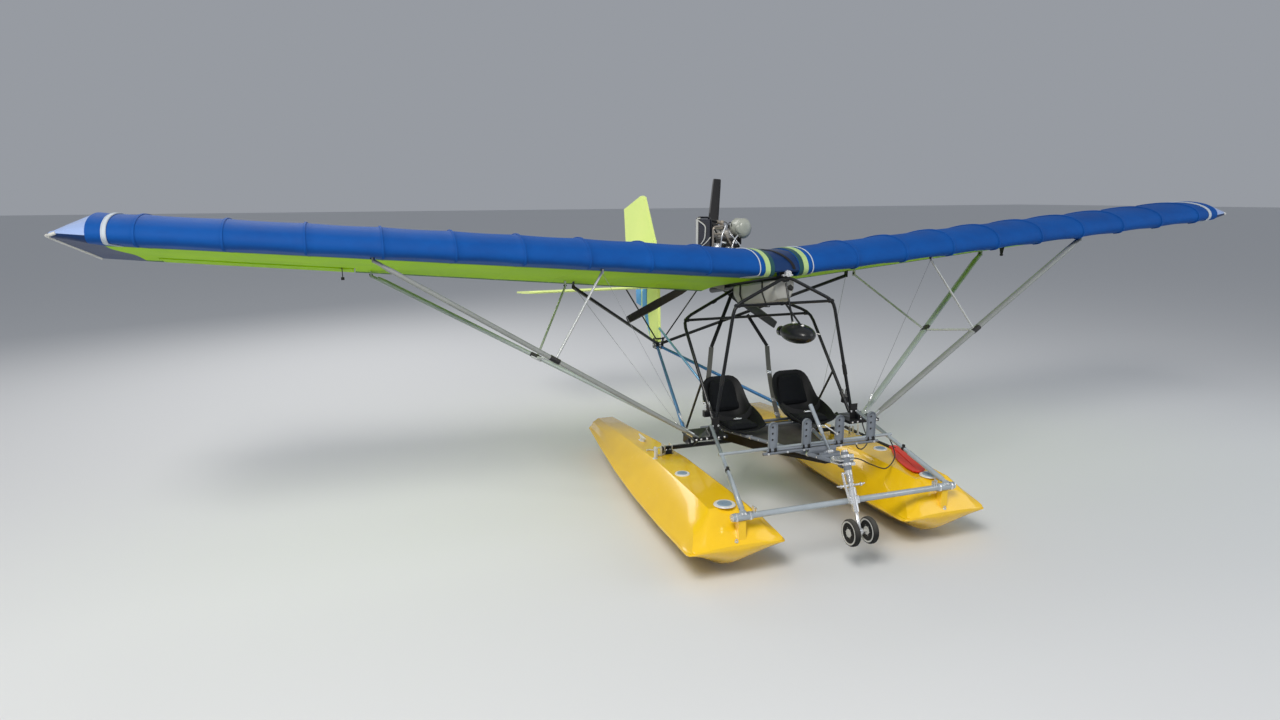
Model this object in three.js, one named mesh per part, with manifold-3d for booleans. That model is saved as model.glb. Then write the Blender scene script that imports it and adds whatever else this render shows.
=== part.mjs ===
// Two-seat floatplane with a strut-braced high wing, an open tube cage, a pusher engine and two floats.
// Millimetres. +X is the port side, +Y is aft and +Z is up. The keels of the floats stand at z = 0.
import * as THREE from "three";
import { mergeVertices } from "three/addons/utils/BufferGeometryUtils.js";
import Module from "manifold-3d";

const wasm = await Module();
wasm.setup();

// Driving dimensions
const CLEAR = 0.3; // gap between pieces that are bolted together
const ROOT_Z = 2070; // leading-edge line of the wing at the centre
const DIHEDRAL = 0.081; // rise of the wing for each millimetre outboard
const HALF_SPAN = 4750; // to the last rib, where the tip bow starts
const WASHOUT = 60; // rise of the trailing edge at the last rib, from twist
const TIP_X = 5060; // to the end of the tip bow
const ROOT_GAP = 110; // half width of the open centre section
const AILERON = { in: 3250, out: 4640, front: 1150, axis: 1172 };
const STRUT_TOP_X = 3130;
const STRUT_FOOT = [800, -170, 790];
const FLOAT_X = 875; // each float's centre line from the plane of symmetry
const PROP = { y: 1475, z: 1885, r: 935, turn: 85 };
const TAIL_Y = 2870; // where the booms meet
const MIDDLE_Y = 1381; // middle of the length, which becomes the origin

const group = new THREE.Group();
group.name = "floatplane";

// Turns a closed surface into a solid for booleans.
function solid(geometry) {
  const bare = geometry.clone();
  bare.deleteAttribute("normal");
  bare.deleteAttribute("uv");
  const merged = mergeVertices(bare, 1e-3);
  return new wasm.Manifold(
    new wasm.Mesh({
      numProp: 3,
      vertProperties: merged.attributes.position.array,
      triVerts: new Uint32Array(merged.index.array),
    }),
  );
}

// Adds a solid to the group as one named piece.
function piece(name, shape, colour, roughness, metalness) {
  const data = shape.getMesh();
  const geometry = new THREE.BufferGeometry();
  geometry.setAttribute("position", new THREE.BufferAttribute(new Float32Array(data.vertProperties), 3));
  geometry.setIndex(new THREE.BufferAttribute(new Uint32Array(data.triVerts), 1));
  geometry.translate(0, -MIDDLE_Y, 0);
  geometry.computeVertexNormals();
  const material = new THREE.MeshStandardMaterial({ color: colour, roughness, metalness });
  const mesh = new THREE.Mesh(geometry, material);
  mesh.name = name;
  group.add(mesh);
}

// Joins solids into one.
function join(...shapes) {
  return shapes.reduce((a, b) => a.add(b));
}

// Takes solids away from a first one.
function cut(shape, ...tools) {
  return tools.reduce((a, b) => a.subtract(b), shape);
}

// A closed surface through rings of points that all have the same count.
function loft(rings) {
  const n = rings[0].length;
  const index = [];
  for (let r = 0; r + 1 < rings.length; r++) {
    for (let i = 0; i < n; i++) {
      const a = r * n + i;
      const b = r * n + ((i + 1) % n);
      index.push(a, b, b + n, a, b + n, a + n);
    }
  }
  const cap = (ring, base, turn) => {
    const views = [
      [1, 2],
      [0, 2],
      [0, 1],
    ].map(([i, j]) => ring.map((p) => new THREE.Vector2(p[i], p[j])));
    const areas = views.map((v) => Math.abs(THREE.ShapeUtils.area(v)));
    const flat = views[areas.indexOf(Math.max(...areas))];
    const way = Math.sign(THREE.ShapeUtils.area(flat)) * turn;
    for (const [a, b, c] of THREE.ShapeUtils.triangulateShape(flat, [])) {
      const same = Math.sign(THREE.ShapeUtils.area([flat[a], flat[b], flat[c]])) === way;
      index.push(...(same ? [a, b, c] : [a, c, b]).map((k) => base + k));
    }
  };
  cap(rings[0], 0, -1);
  cap(rings[rings.length - 1], (rings.length - 1) * n, 1);
  const geometry = new THREE.BufferGeometry();
  geometry.setAttribute("position", new THREE.Float32BufferAttribute(rings.flat(2), 3));
  geometry.setIndex(index);
  const made = solid(geometry);
  if (made.volume() > 0) {
    return made;
  }
  geometry.setIndex([...index].reverse());
  return solid(geometry);
}

// A straight round bar between two points.
function rod(a, b, r, sides = 10) {
  const from = new THREE.Vector3(...a);
  const to = new THREE.Vector3(...b);
  const way = to.clone().sub(from);
  const geometry = new THREE.CylinderGeometry(r, r, way.length(), sides);
  const turn = new THREE.Quaternion().setFromUnitVectors(new THREE.Vector3(0, 1, 0), way.clone().normalize());
  geometry.applyQuaternion(turn);
  geometry.translate((a[0] + b[0]) / 2, (a[1] + b[1]) / 2, (a[2] + b[2]) / 2);
  return solid(geometry);
}

// A box between two corners.
function box(a, b) {
  const geometry = new THREE.BoxGeometry(Math.abs(b[0] - a[0]), Math.abs(b[1] - a[1]), Math.abs(b[2] - a[2]));
  geometry.translate((a[0] + b[0]) / 2, (a[1] + b[1]) / 2, (a[2] + b[2]) / 2);
  return solid(geometry);
}

// A ball drawn out along the three axes.
function ball(centre, radii, across = 16, down = 10) {
  const geometry = new THREE.SphereGeometry(1, across, down);
  geometry.scale(...radii);
  geometry.translate(...centre);
  return solid(geometry);
}

// A tube bent through corners with a given bend radius.
function bent(points, r, bend, sides = 10, arc = 4) {
  const at = points.map((p) => new THREE.Vector3(...p));
  const path = [at[0]];
  for (let i = 1; i + 1 < at.length; i++) {
    const back = at[i - 1].clone().sub(at[i]);
    const on = at[i + 1].clone().sub(at[i]);
    const reach = Math.min(bend, back.length() * 0.45, on.length() * 0.45);
    const start = at[i].clone().add(back.normalize().multiplyScalar(reach));
    const end = at[i].clone().add(on.normalize().multiplyScalar(reach));
    const curve = new THREE.QuadraticBezierCurve3(start, at[i], end);
    path.push(...curve.getPoints(arc));
  }
  path.push(at[at.length - 1]);
  return sweep(path, r, r, sides);
}

// A round or oval section carried along a chain of points without twisting.
function sweep(path, wide, thin, sides = 10) {
  const first = path[1].clone().sub(path[0]).normalize();
  const guess = Math.abs(first.y) < 0.9 ? new THREE.Vector3(0, 1, 0) : new THREE.Vector3(1, 0, 0);
  let side = guess.sub(first.clone().multiplyScalar(guess.dot(first))).normalize();
  let last = first;
  const rings = path.map((p, i) => {
    const into = i > 0 ? p.clone().sub(path[i - 1]).normalize() : first;
    const out = i + 1 < path.length ? path[i + 1].clone().sub(p).normalize() : into;
    const along = into.clone().add(out).normalize();
    side = side.clone().applyQuaternion(new THREE.Quaternion().setFromUnitVectors(last, along));
    last = along;
    const up = along.clone().cross(side);
    const ring = [];
    for (let k = 0; k < sides; k++) {
      const angle = ((k + 0.5) / sides) * Math.PI * 2;
      const q = p.clone();
      q.addScaledVector(side, wide * Math.cos(angle));
      q.addScaledVector(up, thin * Math.sin(angle));
      ring.push(q.toArray());
    }
    return ring;
  });
  return loft(rings);
}

// An oval strut between two points, long across the airflow.
function blade(a, b, wide, thin, sides = 12) {
  return sweep([new THREE.Vector3(...a), new THREE.Vector3(...b)], wide, thin, sides);
}

// A flat outline in the plane of symmetry, given as y and z, with a thickness across it.
function plate(outline, x, half) {
  return loft([outline.map(([y, z]) => [x - half, y, z]), outline.map(([y, z]) => [x + half, y, z])]);
}

// The same point on either side.
function flip([x, y, z], side) {
  return [x * side, y, z];
}

function mix(a, b, t) {
  return a.map((v, k) => v + (b[k] - v) * t);
}

const SIDES = [
  { name: "starboard", s: -1 },
  { name: "port", s: 1 },
];

// Wing: ribs and tubes under two fabric covers, with the blue one over the nose and the top.
const CHORD = 1398;
const TIP_THINNER = 0.25;
const BAYS = [ROOT_GAP, 1700, 3250, HALF_SPAN];
const TOP = [
  [-60, -8],
  [-44, 44],
  [6, 92],
  [120, 132],
  [300, 140],
  [550, 98],
  [850, 0],
  [1150, -140],
  [1398, -322],
];
const SPLIT = [
  [1398, -327],
  [1150, -196],
  [850, -95],
  [320, -30],
  [300, -104],
];
const UNDER = [
  [300, -104],
  [500, -150],
  [800, -203],
  [1100, -258],
  [1398, -333],
];
const NOSE_UNDER = [
  [100, -76],
  [0, -62],
  [-42, -44],
];
const blueSection = [...TOP, ...SPLIT, ...NOSE_UNDER];
const limeSection = [
  ...UNDER,
  [1398, -327.6],
  [1150, -196.6],
  [850, -95.6],
  [320.4, -30.9],
  [300.4, -103.7],
];
const fullSection = [...TOP, ...[...UNDER].reverse().slice(0, 5), ...NOSE_UNDER];

// Height of a point of the section at a station of the span.
function wingZ(x, y, z) {
  const thin = z > 0 ? 1 - TIP_THINNER * (x / HALF_SPAN) ** 2 : 1;
  return ROOT_Z + x * DIHEDRAL + z * thin + (WASHOUT * x * y) / (HALF_SPAN * CHORD);
}

function ribRing(section, s, x) {
  return section.map(([y, z]) => [s * x, y, wingZ(x, y, z)]);
}

// The tip bow: the section flattens to a thin edge that runs back almost straight.
function tipRing(section, s, reach, share) {
  return section.map(([y, z]) => {
    const line = -8 - 0.2208 * (y + 60);
    const back = Math.max(0, y) / CHORD;
    const edge = y < 60 ? (60 - y) * 0.55 : 0;
    const x = HALF_SPAN + (TIP_X - HALF_SPAN - 75 + 75 * back - edge) * reach;
    return [s * x, y + (y < 0 ? -y * 0.8 * reach : 0), wingZ(x, y, line + (z - line) * share)];
  });
}

function hingeLugs(axisPoint, xs, s, reach) {
  return xs.map((x) => {
    const [y, z] = axisPoint(x);
    const lug = rod([s * (x - 4), y, z], [s * (x + 4), y, z], 9);
    return lug.add(box([s * (x - 4), y - reach, z - 7], [s * (x + 4), y, z + 7]));
  });
}

const aileronAxis = (x) => [AILERON.axis, wingZ(x, AILERON.axis, -213)];
const AILERON_HINGES = [3450, 3945, 4440];
for (const { name, s } of SIDES) {
  const well = loft([
    [
      [s * AILERON.in, AILERON.front, 1500],
      [s * AILERON.in, 1500, 1500],
      [s * AILERON.in, 1500, 3000],
      [s * AILERON.in, AILERON.front, 3000],
    ],
    [
      [s * AILERON.out, AILERON.front, 1500],
      [s * AILERON.out, 1500, 1500],
      [s * AILERON.out, 1500, 3000],
      [s * AILERON.out, AILERON.front, 3000],
    ],
  ]);
  const blue = loft(BAYS.map((x) => ribRing(blueSection, s, x)));
  const lime = loft(BAYS.map((x) => ribRing(limeSection, s, x)));
  const tip = loft([
    ribRing(fullSection, s, HALF_SPAN),
    tipRing(fullSection, s, 0.55, 0.5),
    tipRing(fullSection, s, 0.93, 0.16),
    tipRing(fullSection, s, 1, 0.05),
  ]);
  const lugs = hingeLugs(aileronAxis, AILERON_HINGES, s, 30);
  piece("wing_lower_cover_" + name, join(cut(lime, well), ...lugs), "#9adf1e", 0.7, 0);
  const lugRoom = AILERON_HINGES.map((x) => {
    const [y, z] = aileronAxis(x);
    return box([s * (x - 4.3), y - 31, z - 7.3], [s * (x + 4.3), y + 12, z + 7.3]);
  });
  piece("wing_upper_cover_" + name, cut(blue, well, ...lugRoom), "#1d4fae", 0.65, 0);
  const inboard = box([s * (HALF_SPAN - 5), -200, 1500], [s * (HALF_SPAN + CLEAR), 1500, 3000]);
  piece("wing_tip_" + name, cut(tip, inboard), "#16336f", 0.65, 0);

  const flap = loft([ribRing(fullSection, s, AILERON.in + 8), ribRing(fullSection, s, AILERON.out - 8)]);
  const nose = [
    [-1400, -900],
    [44, -900],
    [44, -58],
    [-6, -10],
    [-6, 10],
    [44, 58],
    [44, 900],
    [-1400, 900],
  ];
  const noseRing = (x) => nose.map(([y, z]) => [s * x, aileronAxis(x)[0] + y, aileronAxis(x)[1] + z]);
  const ahead = loft([noseRing(AILERON.in - 10), noseRing(AILERON.out + 10)]);
  const slots = AILERON_HINGES.map((x) => {
    const [y, z] = aileronAxis(x);
    return box([s * (x - 4.3), y - 60, z - 70], [s * (x + 4.3), y + 10, z + 70]);
  });
  piece("aileron_" + name, cut(flap, ahead, ...slots), "#8fd61c", 0.7, 0);
}

// Centre cover: a dark strip laid over the open gap between the two wing roots, ahead of the engine.
const coverTop = TOP.filter(([y]) => y <= 560).map(([y, z]) => [y, ROOT_Z + z + 5]);
const coverIn = [...coverTop].reverse().map(([y, z]) => [y + (y < 0 ? 12 : 0), z - 14]);
piece("centre_cover", plate([...coverTop, ...coverIn], 0, ROOT_GAP - CLEAR), "#17305f", 0.7, 0);

// Root tube that carries the wing, the engine and the tank.
const ROOT_TUBE = { a: [0, -52, 2005], b: [0, 1380, 1757], r: 30 };
const SPAR_Y = { front: 20, rear: 1250 };
const carry = [
  { y: SPAR_Y.front, z: 2077, r: 26 },
  { y: SPAR_Y.rear, z: 1815, r: 20 },
];
const carryRod = (t, half, extra) => rod([-half, t.y, t.z], [half, t.y, t.z], t.r + extra, 12);
const rootTube = join(
  rod(ROOT_TUBE.a, ROOT_TUBE.b, ROOT_TUBE.r, 12),
  ...carry.map((t) => carryRod(t, ROOT_GAP - CLEAR, 0)),
  box([-14, 0, 2000], [14, 40, 2077]),
  box([-14, 1235, 1780], [14, 1265, 1815]),
);

// Front frame: one bent tube from the root fitting down each side, and a bar between its corners.
const FRONT = {
  corner: [450, -42, 1802],
  foot: [648, -106, 782],
  r: 14,
};
const frontLegs = bent(
  [
    flip(FRONT.foot, -1),
    flip(FRONT.corner, -1),
    [0, -58, 2022],
    FRONT.corner,
    FRONT.foot,
  ],
  FRONT.r,
  70,
  8,
  3,
);
const frontBar = rod(flip(FRONT.corner, -1), FRONT.corner, 12, 8);
const rootCut = rod(ROOT_TUBE.a, ROOT_TUBE.b, ROOT_TUBE.r + CLEAR, 12);
piece("front_frame", cut(join(frontLegs, frontBar), rootCut), "#15171a", 0.45, 0.3);

// Rear hoop behind the seats, with its cross bar.
const HOOP = { top: [0, 760, 1868], shoulder: [624, 600, 1612], foot: [625, -84, 848], r: 14 };
const hoop = bent(
  [
    flip(HOOP.foot, -1),
    flip(HOOP.shoulder, -1),
    HOOP.top,
    HOOP.shoulder,
    HOOP.foot,
  ],
  HOOP.r,
  90,
  8,
  3,
);
const hoopBar = rod([-600, 604, 1604], [600, 604, 1604], 12, 8);
const BOOM_LOW = { from: [634, 500, 612], to: [20, 2840, 940] };
const braces = SIDES.map(({ s }) => {
  const brace = rod([s * 624, 188, 1152], flip(mix(BOOM_LOW.from, BOOM_LOW.to, 0.02), s), 10, 8);
  return cut(brace, rod(flip(BOOM_LOW.from, s), flip(BOOM_LOW.to, s), 17 + CLEAR, 8));
});
const legLine = SIDES.map(({ s }) => (
  rod(flip(FRONT.corner, s), flip(FRONT.foot, s), FRONT.r * 1.09 + CLEAR, 8)
));
piece("rear_hoop", cut(join(hoop, hoopBar, ...braces), rootCut, ...legLine), "#15171a", 0.45, 0.3);
piece("root_tube", rootTube, "#2a2c2f", 0.5, 0.4);

// Floats: hard-chined hulls with a narrow deck, sloping sides and a step under the middle.
// Each row is y, chine x and z, rail z, mid x and z, deck x and z, keel z, and the deck's crown.
const STATIONS = [
  [-1068, 300, 268, 276, 290, 281, 200, 289, 266, 4],
  [-1058, 345, 260, 272, 332, 281, 225, 298, 240, 6],
  [-1038, 367, 252, 268, 348, 288, 240, 322, 200, 6],
  [-1005, 376, 246, 266, 330, 312, 230, 362, 158, 6],
  [-930, 375, 242, 264, 292, 356, 180, 440, 100, 5],
  [-850, 372, 240, 264, 268, 392, 150, 495, 55, 0],
  [-620, 367, 232, 254, 262, 400, 145, 502, 12, 0],
  [-420, 362, 225, 247, 258, 398, 142, 502, 0, 0],
  [250, 335, 215, 237, 240, 392, 135, 502, 0, 0],
  [900, 290, 215, 237, 210, 370, 120, 460, 0, 0],
  [903, 290, 218, 237, 210, 370, 120, 460, 70, 0],
  [1500, 240, 235, 252, 172, 345, 100, 412, 120, 0],
  [2130, 180, 258, 272, 134, 328, 82, 362, 172, 0],
  [2200, 130, 268, 280, 108, 310, 70, 330, 215, 0],
].map(([y, chine, zChine, rail, mid, zMid, deck, zDeck, keel, crown]) => (
  { y, chine, zChine, rail, mid, zMid, deck, zDeck, keel, crown }
));
function hull(s, lift) {
  const cx = s * FLOAT_X;
  return loft(
    STATIONS.map((t) => [
      [cx, t.y, t.keel + lift],
      [cx + t.chine, t.y, t.zChine + lift],
      [cx + t.chine - 4, t.y, t.rail + lift],
      [cx + t.mid, t.y, t.zMid + lift],
      [cx + t.deck, t.y, t.zDeck + lift],
      [cx, t.y, t.zDeck + t.crown + lift],
      [cx - t.deck, t.y, t.zDeck + lift],
      [cx - t.mid, t.y, t.zMid + lift],
      [cx - t.chine + 4, t.y, t.rail + lift],
      [cx - t.chine, t.y, t.zChine + lift],
    ]),
  );
}
const SPREADER = { x: 925, y: -1040, z: 488, r: 22 };
for (const { name, s } of SIDES) {
  const collar = rod([s * 700, SPREADER.y, SPREADER.z], [s * 1000, SPREADER.y, SPREADER.z], 28 + CLEAR, 16);
  const stand = cut(box([s * 822, -1046, 290], [s * 878, -985, 480]), collar);
  piece("float_" + name, join(hull(s, 0), stand), "#f5c400", 0.35, 0);
}

// Front float frame: the spreader tube, the struts up to the cage and the bar between them.
const FRONT_STRUT = { top: [672, -110, 866], foot: [850, -1045, 525] };
const spreaderAt = (x) => [x, SPREADER.y, SPREADER.z];
const frontParts = [rod(spreaderAt(-SPREADER.x), spreaderAt(SPREADER.x), SPREADER.r, 12)];
for (const { s } of SIDES) {
  const { top, foot } = FRONT_STRUT;
  frontParts.push(rod(flip(top, s), flip(foot, s), 15, 8));
  frontParts.push(rod(flip(mix(top, foot, 0.62), s), flip(mix(top, foot, 0.97), s), 20, 12));
  frontParts.push(rod(spreaderAt(s * (SPREADER.x - 150)), spreaderAt(s * SPREADER.x), 28, 16));
  frontParts.push(box([s * 832, -1064, 490], [s * 868, -1030, 535]));
}
frontParts.push(rod([-768, -471, 748], [768, -471, 748], 13, 8));

// Rear float frame: a black spreader with posts to the cage and a bracket on each deck.
const rearParts = [rod([-890, 420, 540], [890, 420, 540], 20, 10)];
for (const { s } of SIDES) {
  rearParts.push(cut(box([s * 800, 380, 440], [s * 880, 460, 530]), hull(s, CLEAR)));
  const boomRoom = rod(flip(BOOM_LOW.from, s), flip(BOOM_LOW.to, s), 17 + CLEAR, 8);
  rearParts.push(cut(box([s * 622, 410, 545], [s * 646, 530, 612]), boomRoom));
  rearParts.push(rod([s * 600, 415, 545], [s * 600, 60, 800], 14, 8));
  rearParts.push(box([s * 560, 60, 775], [s * 850, -190, 800]));
  rearParts.push(box([s * 655, -88, 780], [s * 706, -172, 842]));
  rearParts.push(rod([s * 380, 418, 545], [s * 380, 376, 698], 13, 8));
}
const rearFrame = join(...rearParts);
const legRoom = SIDES.flatMap(({ s }) => [
  rod(flip(FRONT.corner, s), mix(flip(FRONT.corner, s), flip(FRONT.foot, s), 1.2), FRONT.r * 1.09 + CLEAR, 8),
  rod(flip(FRONT_STRUT.top, s), flip(FRONT_STRUT.foot, s), 15 + CLEAR, 8),
]);
const RAIL = { back: [425, 380, 700], nose: [25, -945, 745], r: 16 };
const railRoom = SIDES.map(({ s }) => rod(flip(RAIL.back, s), flip(RAIL.nose, s), RAIL.r + CLEAR, 8));
piece("front_float_frame", cut(join(...frontParts), ...railRoom), "#a7abad", 0.35, 0.8);
const backBarRoom = rod([-560, 375, 700], [560, 375, 700], 14 + CLEAR, 8);
piece("rear_float_frame", cut(rearFrame, ...legRoom, backBarRoom, ...railRoom), "#1a1b1d", 0.5, 0.4);

// Floor frame: two rails that meet at the nose, with cross bars and the skin below them.
const railParts = [];
for (const { s } of SIDES) {
  railParts.push(rod(flip(RAIL.back, s), flip(RAIL.nose, s), RAIL.r, 8));
}
railParts.push(rod([-545, 375, 700], [545, 375, 700], 14, 8));
railParts.push(rod([-540, 150, 734], [540, 150, 734], 12, 8));
railParts.push(rod([-500, -665, 779], [500, -665, 779], 12, 8));
railParts.push(box([-118, -678, 738], [118, -652, 779]));
railParts.push(rod([-50, -775, 775], [50, -775, 775], 12, 8));
railParts.push(box([-80, -790, 738], [80, -760, 775]));
const HEAD = [0, -962, 832];
const along = (d) => [0, HEAD[1] - 0.4147 * d, HEAD[2] - 0.91 * d];
railParts.push(rod(along(0), along(130), 29, 16));
railParts.push(box([-26, -975, 715], [26, -925, 775]));
const floorFrame = cut(join(...railParts), rod(along(-20), along(160), 13 + CLEAR, 16));
piece("floor_frame", floorFrame, "#4a4d50", 0.45, 0.5);

// Nose cables: two black cables that hang in loops from the float frame to the nose.
function cable(points, r, steps) {
  const line = new THREE.CatmullRomCurve3(points.map((p) => new THREE.Vector3(...p)), false, "centripetal");
  const corner = (k) => new THREE.Vector2(Math.cos((k * Math.PI) / 4) * r, Math.sin((k * Math.PI) / 4) * r);
  const section = new THREE.Shape([0, 1, 2, 3, 4, 5, 6, 7].map(corner));
  return solid(new THREE.ExtrudeGeometry(section, { steps, bevelEnabled: false, extrudePath: line }));
}
const OUTER_CABLE = [
  [752, -471, 742],
  [758, -474, 705],
  [776, -494, 650],
  [774, -530, 582],
  [727, -560, 536],
  [632, -630, 530],
  [540, -690, 553],
  [343, -800, 649],
  [212, -885, 721],
  [120, -935, 763],
  [12, -975, 787],
];
const INNER_CABLE = [
  [700, -172, 785],
  [700, -180, 752],
  [685, -235, 712],
  [640, -340, 684],
  [553, -450, 676],
  [406, -600, 700],
  [330, -655, 732],
  [300, -665, 774],
];
const outerRoom = [
  rod([700, -471, 748], [790, -471, 748], 13 + CLEAR, 8),
  rod(FRONT_STRUT.top, FRONT_STRUT.foot, 15 + CLEAR, 8),
  rod(along(0), along(130), 29 + CLEAR, 16),
];
const innerRoom = [
  box([560, 60, 775 - CLEAR], [850, -190, 800]),
  rod([-500, -665, 779], [500, -665, 779], 12 + CLEAR, 8),
];
piece("nose_cable_outer", cut(cable(OUTER_CABLE, 5, 54), ...outerRoom), "#101113", 0.6, 0);
piece("nose_cable_inner", cut(cable(INNER_CABLE, 5, 34), ...innerRoom), "#101113", 0.6, 0);

// Deck rope: a short white mooring rope that lies on the starboard deck, made fast to its bracket.
const DECK_ROPE = [
  [-878, 385, 501],
  [-905, 366, 502],
  [-936, 362, 503],
  [-952, 392, 501],
  [-940, 436, 499],
  [-920, 490, 495],
  [-924, 540, 492],
  [-950, 566, 490],
  [-975, 560, 490],
];
const bracketRoom = box([-880 - CLEAR, 380 - CLEAR, 440], [-800, 460, 530]);
piece("deck_rope", cut(cable(DECK_ROPE, 7, 18), bracketRoom, hull(-1, CLEAR)), "#e6e2d6", 0.9, 0);

// Floor skin: a dark shallow pan hung under the rails.
const FLOOR = [
  { y: 350, half: 400, top: 692, low: 590 },
  { y: -100, half: 265, top: 707, low: 610 },
  { y: -780, half: 62, top: 730, low: 690 },
];
const floor = loft(
  FLOOR.map((t) => [
    [t.half, t.y, t.top],
    [t.half - 20, t.y, t.low],
    [-t.half + 20, t.y, t.low],
    [-t.half, t.y, t.top],
  ]),
);
piece("floor_skin", cut(floor, ...railRoom), "#23211d", 0.6, 0.1);

// Seats: one moulded bucket for each side, on the rails.
const SEAT = [
  { y: -60, z: 770, half: 175, up: 45 },
  { y: 40, z: 752, half: 195, up: 90 },
  { y: 230, z: 750, half: 200, up: 130 },
  { y: 330, z: 800, half: 195, up: 120 },
  { y: 410, z: 930, half: 185, up: 70 },
  { y: 455, z: 1050, half: 155, up: 40 },
  { y: 470, z: 1120, half: 95, up: 12 },
];
for (const { name, s } of SIDES) {
  const rings = SEAT.map((t, i) => {
    const next = SEAT[Math.min(i + 1, SEAT.length - 1)];
    const prev = SEAT[Math.max(i - 1, 0)];
    const way = new THREE.Vector2(next.y - prev.y, next.z - prev.z).normalize();
    const at = (x, depth) => [s * 335 + x, t.y - way.y * depth, t.z + way.x * depth];
    return [
      at(-t.half, t.up),
      at(-t.half * 0.8, 12),
      at(0, 6),
      at(t.half * 0.8, 12),
      at(t.half, t.up),
      at(t.half + 12, t.up),
      at(t.half * 0.85, 0),
      at(0, -8),
      at(-t.half * 0.85, 0),
      at(-t.half - 12, t.up),
    ];
  });
  const seatBar = rod([-540, 150, 734], [540, 150, 734], 12 + CLEAR, 8);
  piece("seat_" + name, cut(loft(rings), seatBar), "#121315", 0.8, 0);
}

// Rudder pedals: four holed plates with rounded tops on the front cross bar.
const PEDAL_X = [-426, -143, 143, 426];
const pedals = PEDAL_X.map((x) => {
  const plate = box([x - 36, -668, 791.3], [x + 36, -662, 986]);
  const body = join(plate, rod([x, -668, 986], [x, -662, 986], 36, 16));
  const holes = [884, 932, 980].map((z) => rod([x, -680, z], [x, -650, z], 9, 8));
  return cut(body, ...holes);
});
const pedalBar = rod([-470, -665, 802], [470, -665, 802], 9, 8);
piece("rudder_pedals", join(pedalBar, ...pedals), "#8d9195", 0.4, 0.8);

// Control stick with its grip, standing on the floor between the seats.
const stick = join(rod([0, -775, 779], [0, -520, 1026], 11, 8), rod([0, -520, 1026], [0, -480, 1065], 16, 8));
const stickPivot = rod([-50, -775, 775], [50, -775, 775], 12 + CLEAR, 8);
piece("control_stick", cut(stick, stickPivot), "#b9bcbe", 0.4, 0.5);

// Instrument pod: a smooth black egg hung from the root tube on two rods.
const pod = ball([0, -250, 1590], [120, 190, 78], 20, 12);
const hangers = [
  rod([0, -180, 1640], [0, -42, 1968], 9, 8),
  rod([0, -330, 1640], [0, -52, 1797], 8, 8),
];
const barRoom = rod(flip(FRONT.corner, -1), FRONT.corner, 12 + CLEAR, 8);
piece("instrument_pod", cut(join(pod, ...hangers), rootCut, barRoom), "#101113", 0.25, 0);

// Fuel tank: a tapered translucent tank strapped under the root tube.
const TANK = [
  { y: -20, top: 1985, low: 1835, half: 85 },
  { y: 60, top: 1978, low: 1800, half: 122 },
  { y: 600, top: 1885, low: 1712, half: 125 },
  { y: 715, top: 1864, low: 1735, half: 95 },
];
const tank = loft(
  TANK.map((t) => [
    [t.half, t.y, t.top],
    [t.half, t.y, (t.top + t.low) / 2],
    [t.half - 35, t.y, t.low],
    [35 - t.half, t.y, t.low],
    [-t.half, t.y, (t.top + t.low) / 2],
    [-t.half, t.y, t.top],
  ]),
);
piece("fuel_tank", cut(tank, rootCut, barRoom), "#cfd0c8", 0.5, 0);

// Engine: two-stroke twin on a plate over the root tube, with its gearbox behind.
const engine = join(
  box([-104, 960, 2010], [104, 1330, 2130]),
  box([-85, 1000, 2130], [85, 1140, 2290]),
  box([-85, 1160, 2130], [85, 1300, 2290]),
  rod([0, 1070, 2280], [0, 1070, 2350], 62, 16),
  rod([0, 1230, 2280], [0, 1230, 2350], 62, 16),
  rod([-30, 1110, 2340], [-30, 1110, 2430], 36, 12),
  rod([-70, 1110, 2400], [40, 1110, 2415], 22, 12),
  box([-140, 1010, 2150], [-80, 1290, 2230]),
  rod([-140, 1070, 2190], [-200, 1070, 2190], 34, 12),
  rod([-140, 1230, 2190], [-200, 1230, 2190], 34, 12),
  box([-95, 1320, 1830], [95, 1405, 2100]),
  box([-60, 980, 1790], [60, 1330, 2015]),
);
const rearCarry = carryRod(carry[1], ROOT_GAP - CLEAR, CLEAR);
const hangerRoom = box([-14.3, 1234.7, 1770], [14.3, 1265.3, 1815]);
piece("engine", cut(engine, rootCut, rearCarry, hangerRoom), "#6e6a62", 0.5, 0.6);

// Radiator in a black frame on the starboard side, and the round muffler on the port side.
const radiator = join(
  box([-282, 1060, 2150], [-238, 1165, 2462]),
  box([-282, 1080, 2040], [-270, 1150, 2160]),
  rod([-276, 1115, 2055], [-100, 1115, 2060], 10, 8),
);
const baseRoom = box([-104 - CLEAR, 950, 2010 - CLEAR], [0, 1340, 2130]);
piece("radiator", cut(radiator, baseRoom), "#17181a", 0.5, 0.3);
const muffler = join(
  ball([128, 1060, 2358], [82, 115, 96], 16, 10),
  rod([125, 1060, 2300], [70, 1070, 2200], 16, 8),
);
const mufflerRoom = [
  box([-10, 950, 1800], [104 + CLEAR, 1340, 2130 + CLEAR]),
  box([-10, 990, 2000], [85 + CLEAR, 1310, 2290 + CLEAR]),
  rod([0, 1070, 2250], [0, 1070, 2350 + CLEAR], 62 + CLEAR, 16),
];
piece("muffler", cut(muffler, ...mufflerRoom), "#cdbfa0", 0.5, 0.3);

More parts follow.
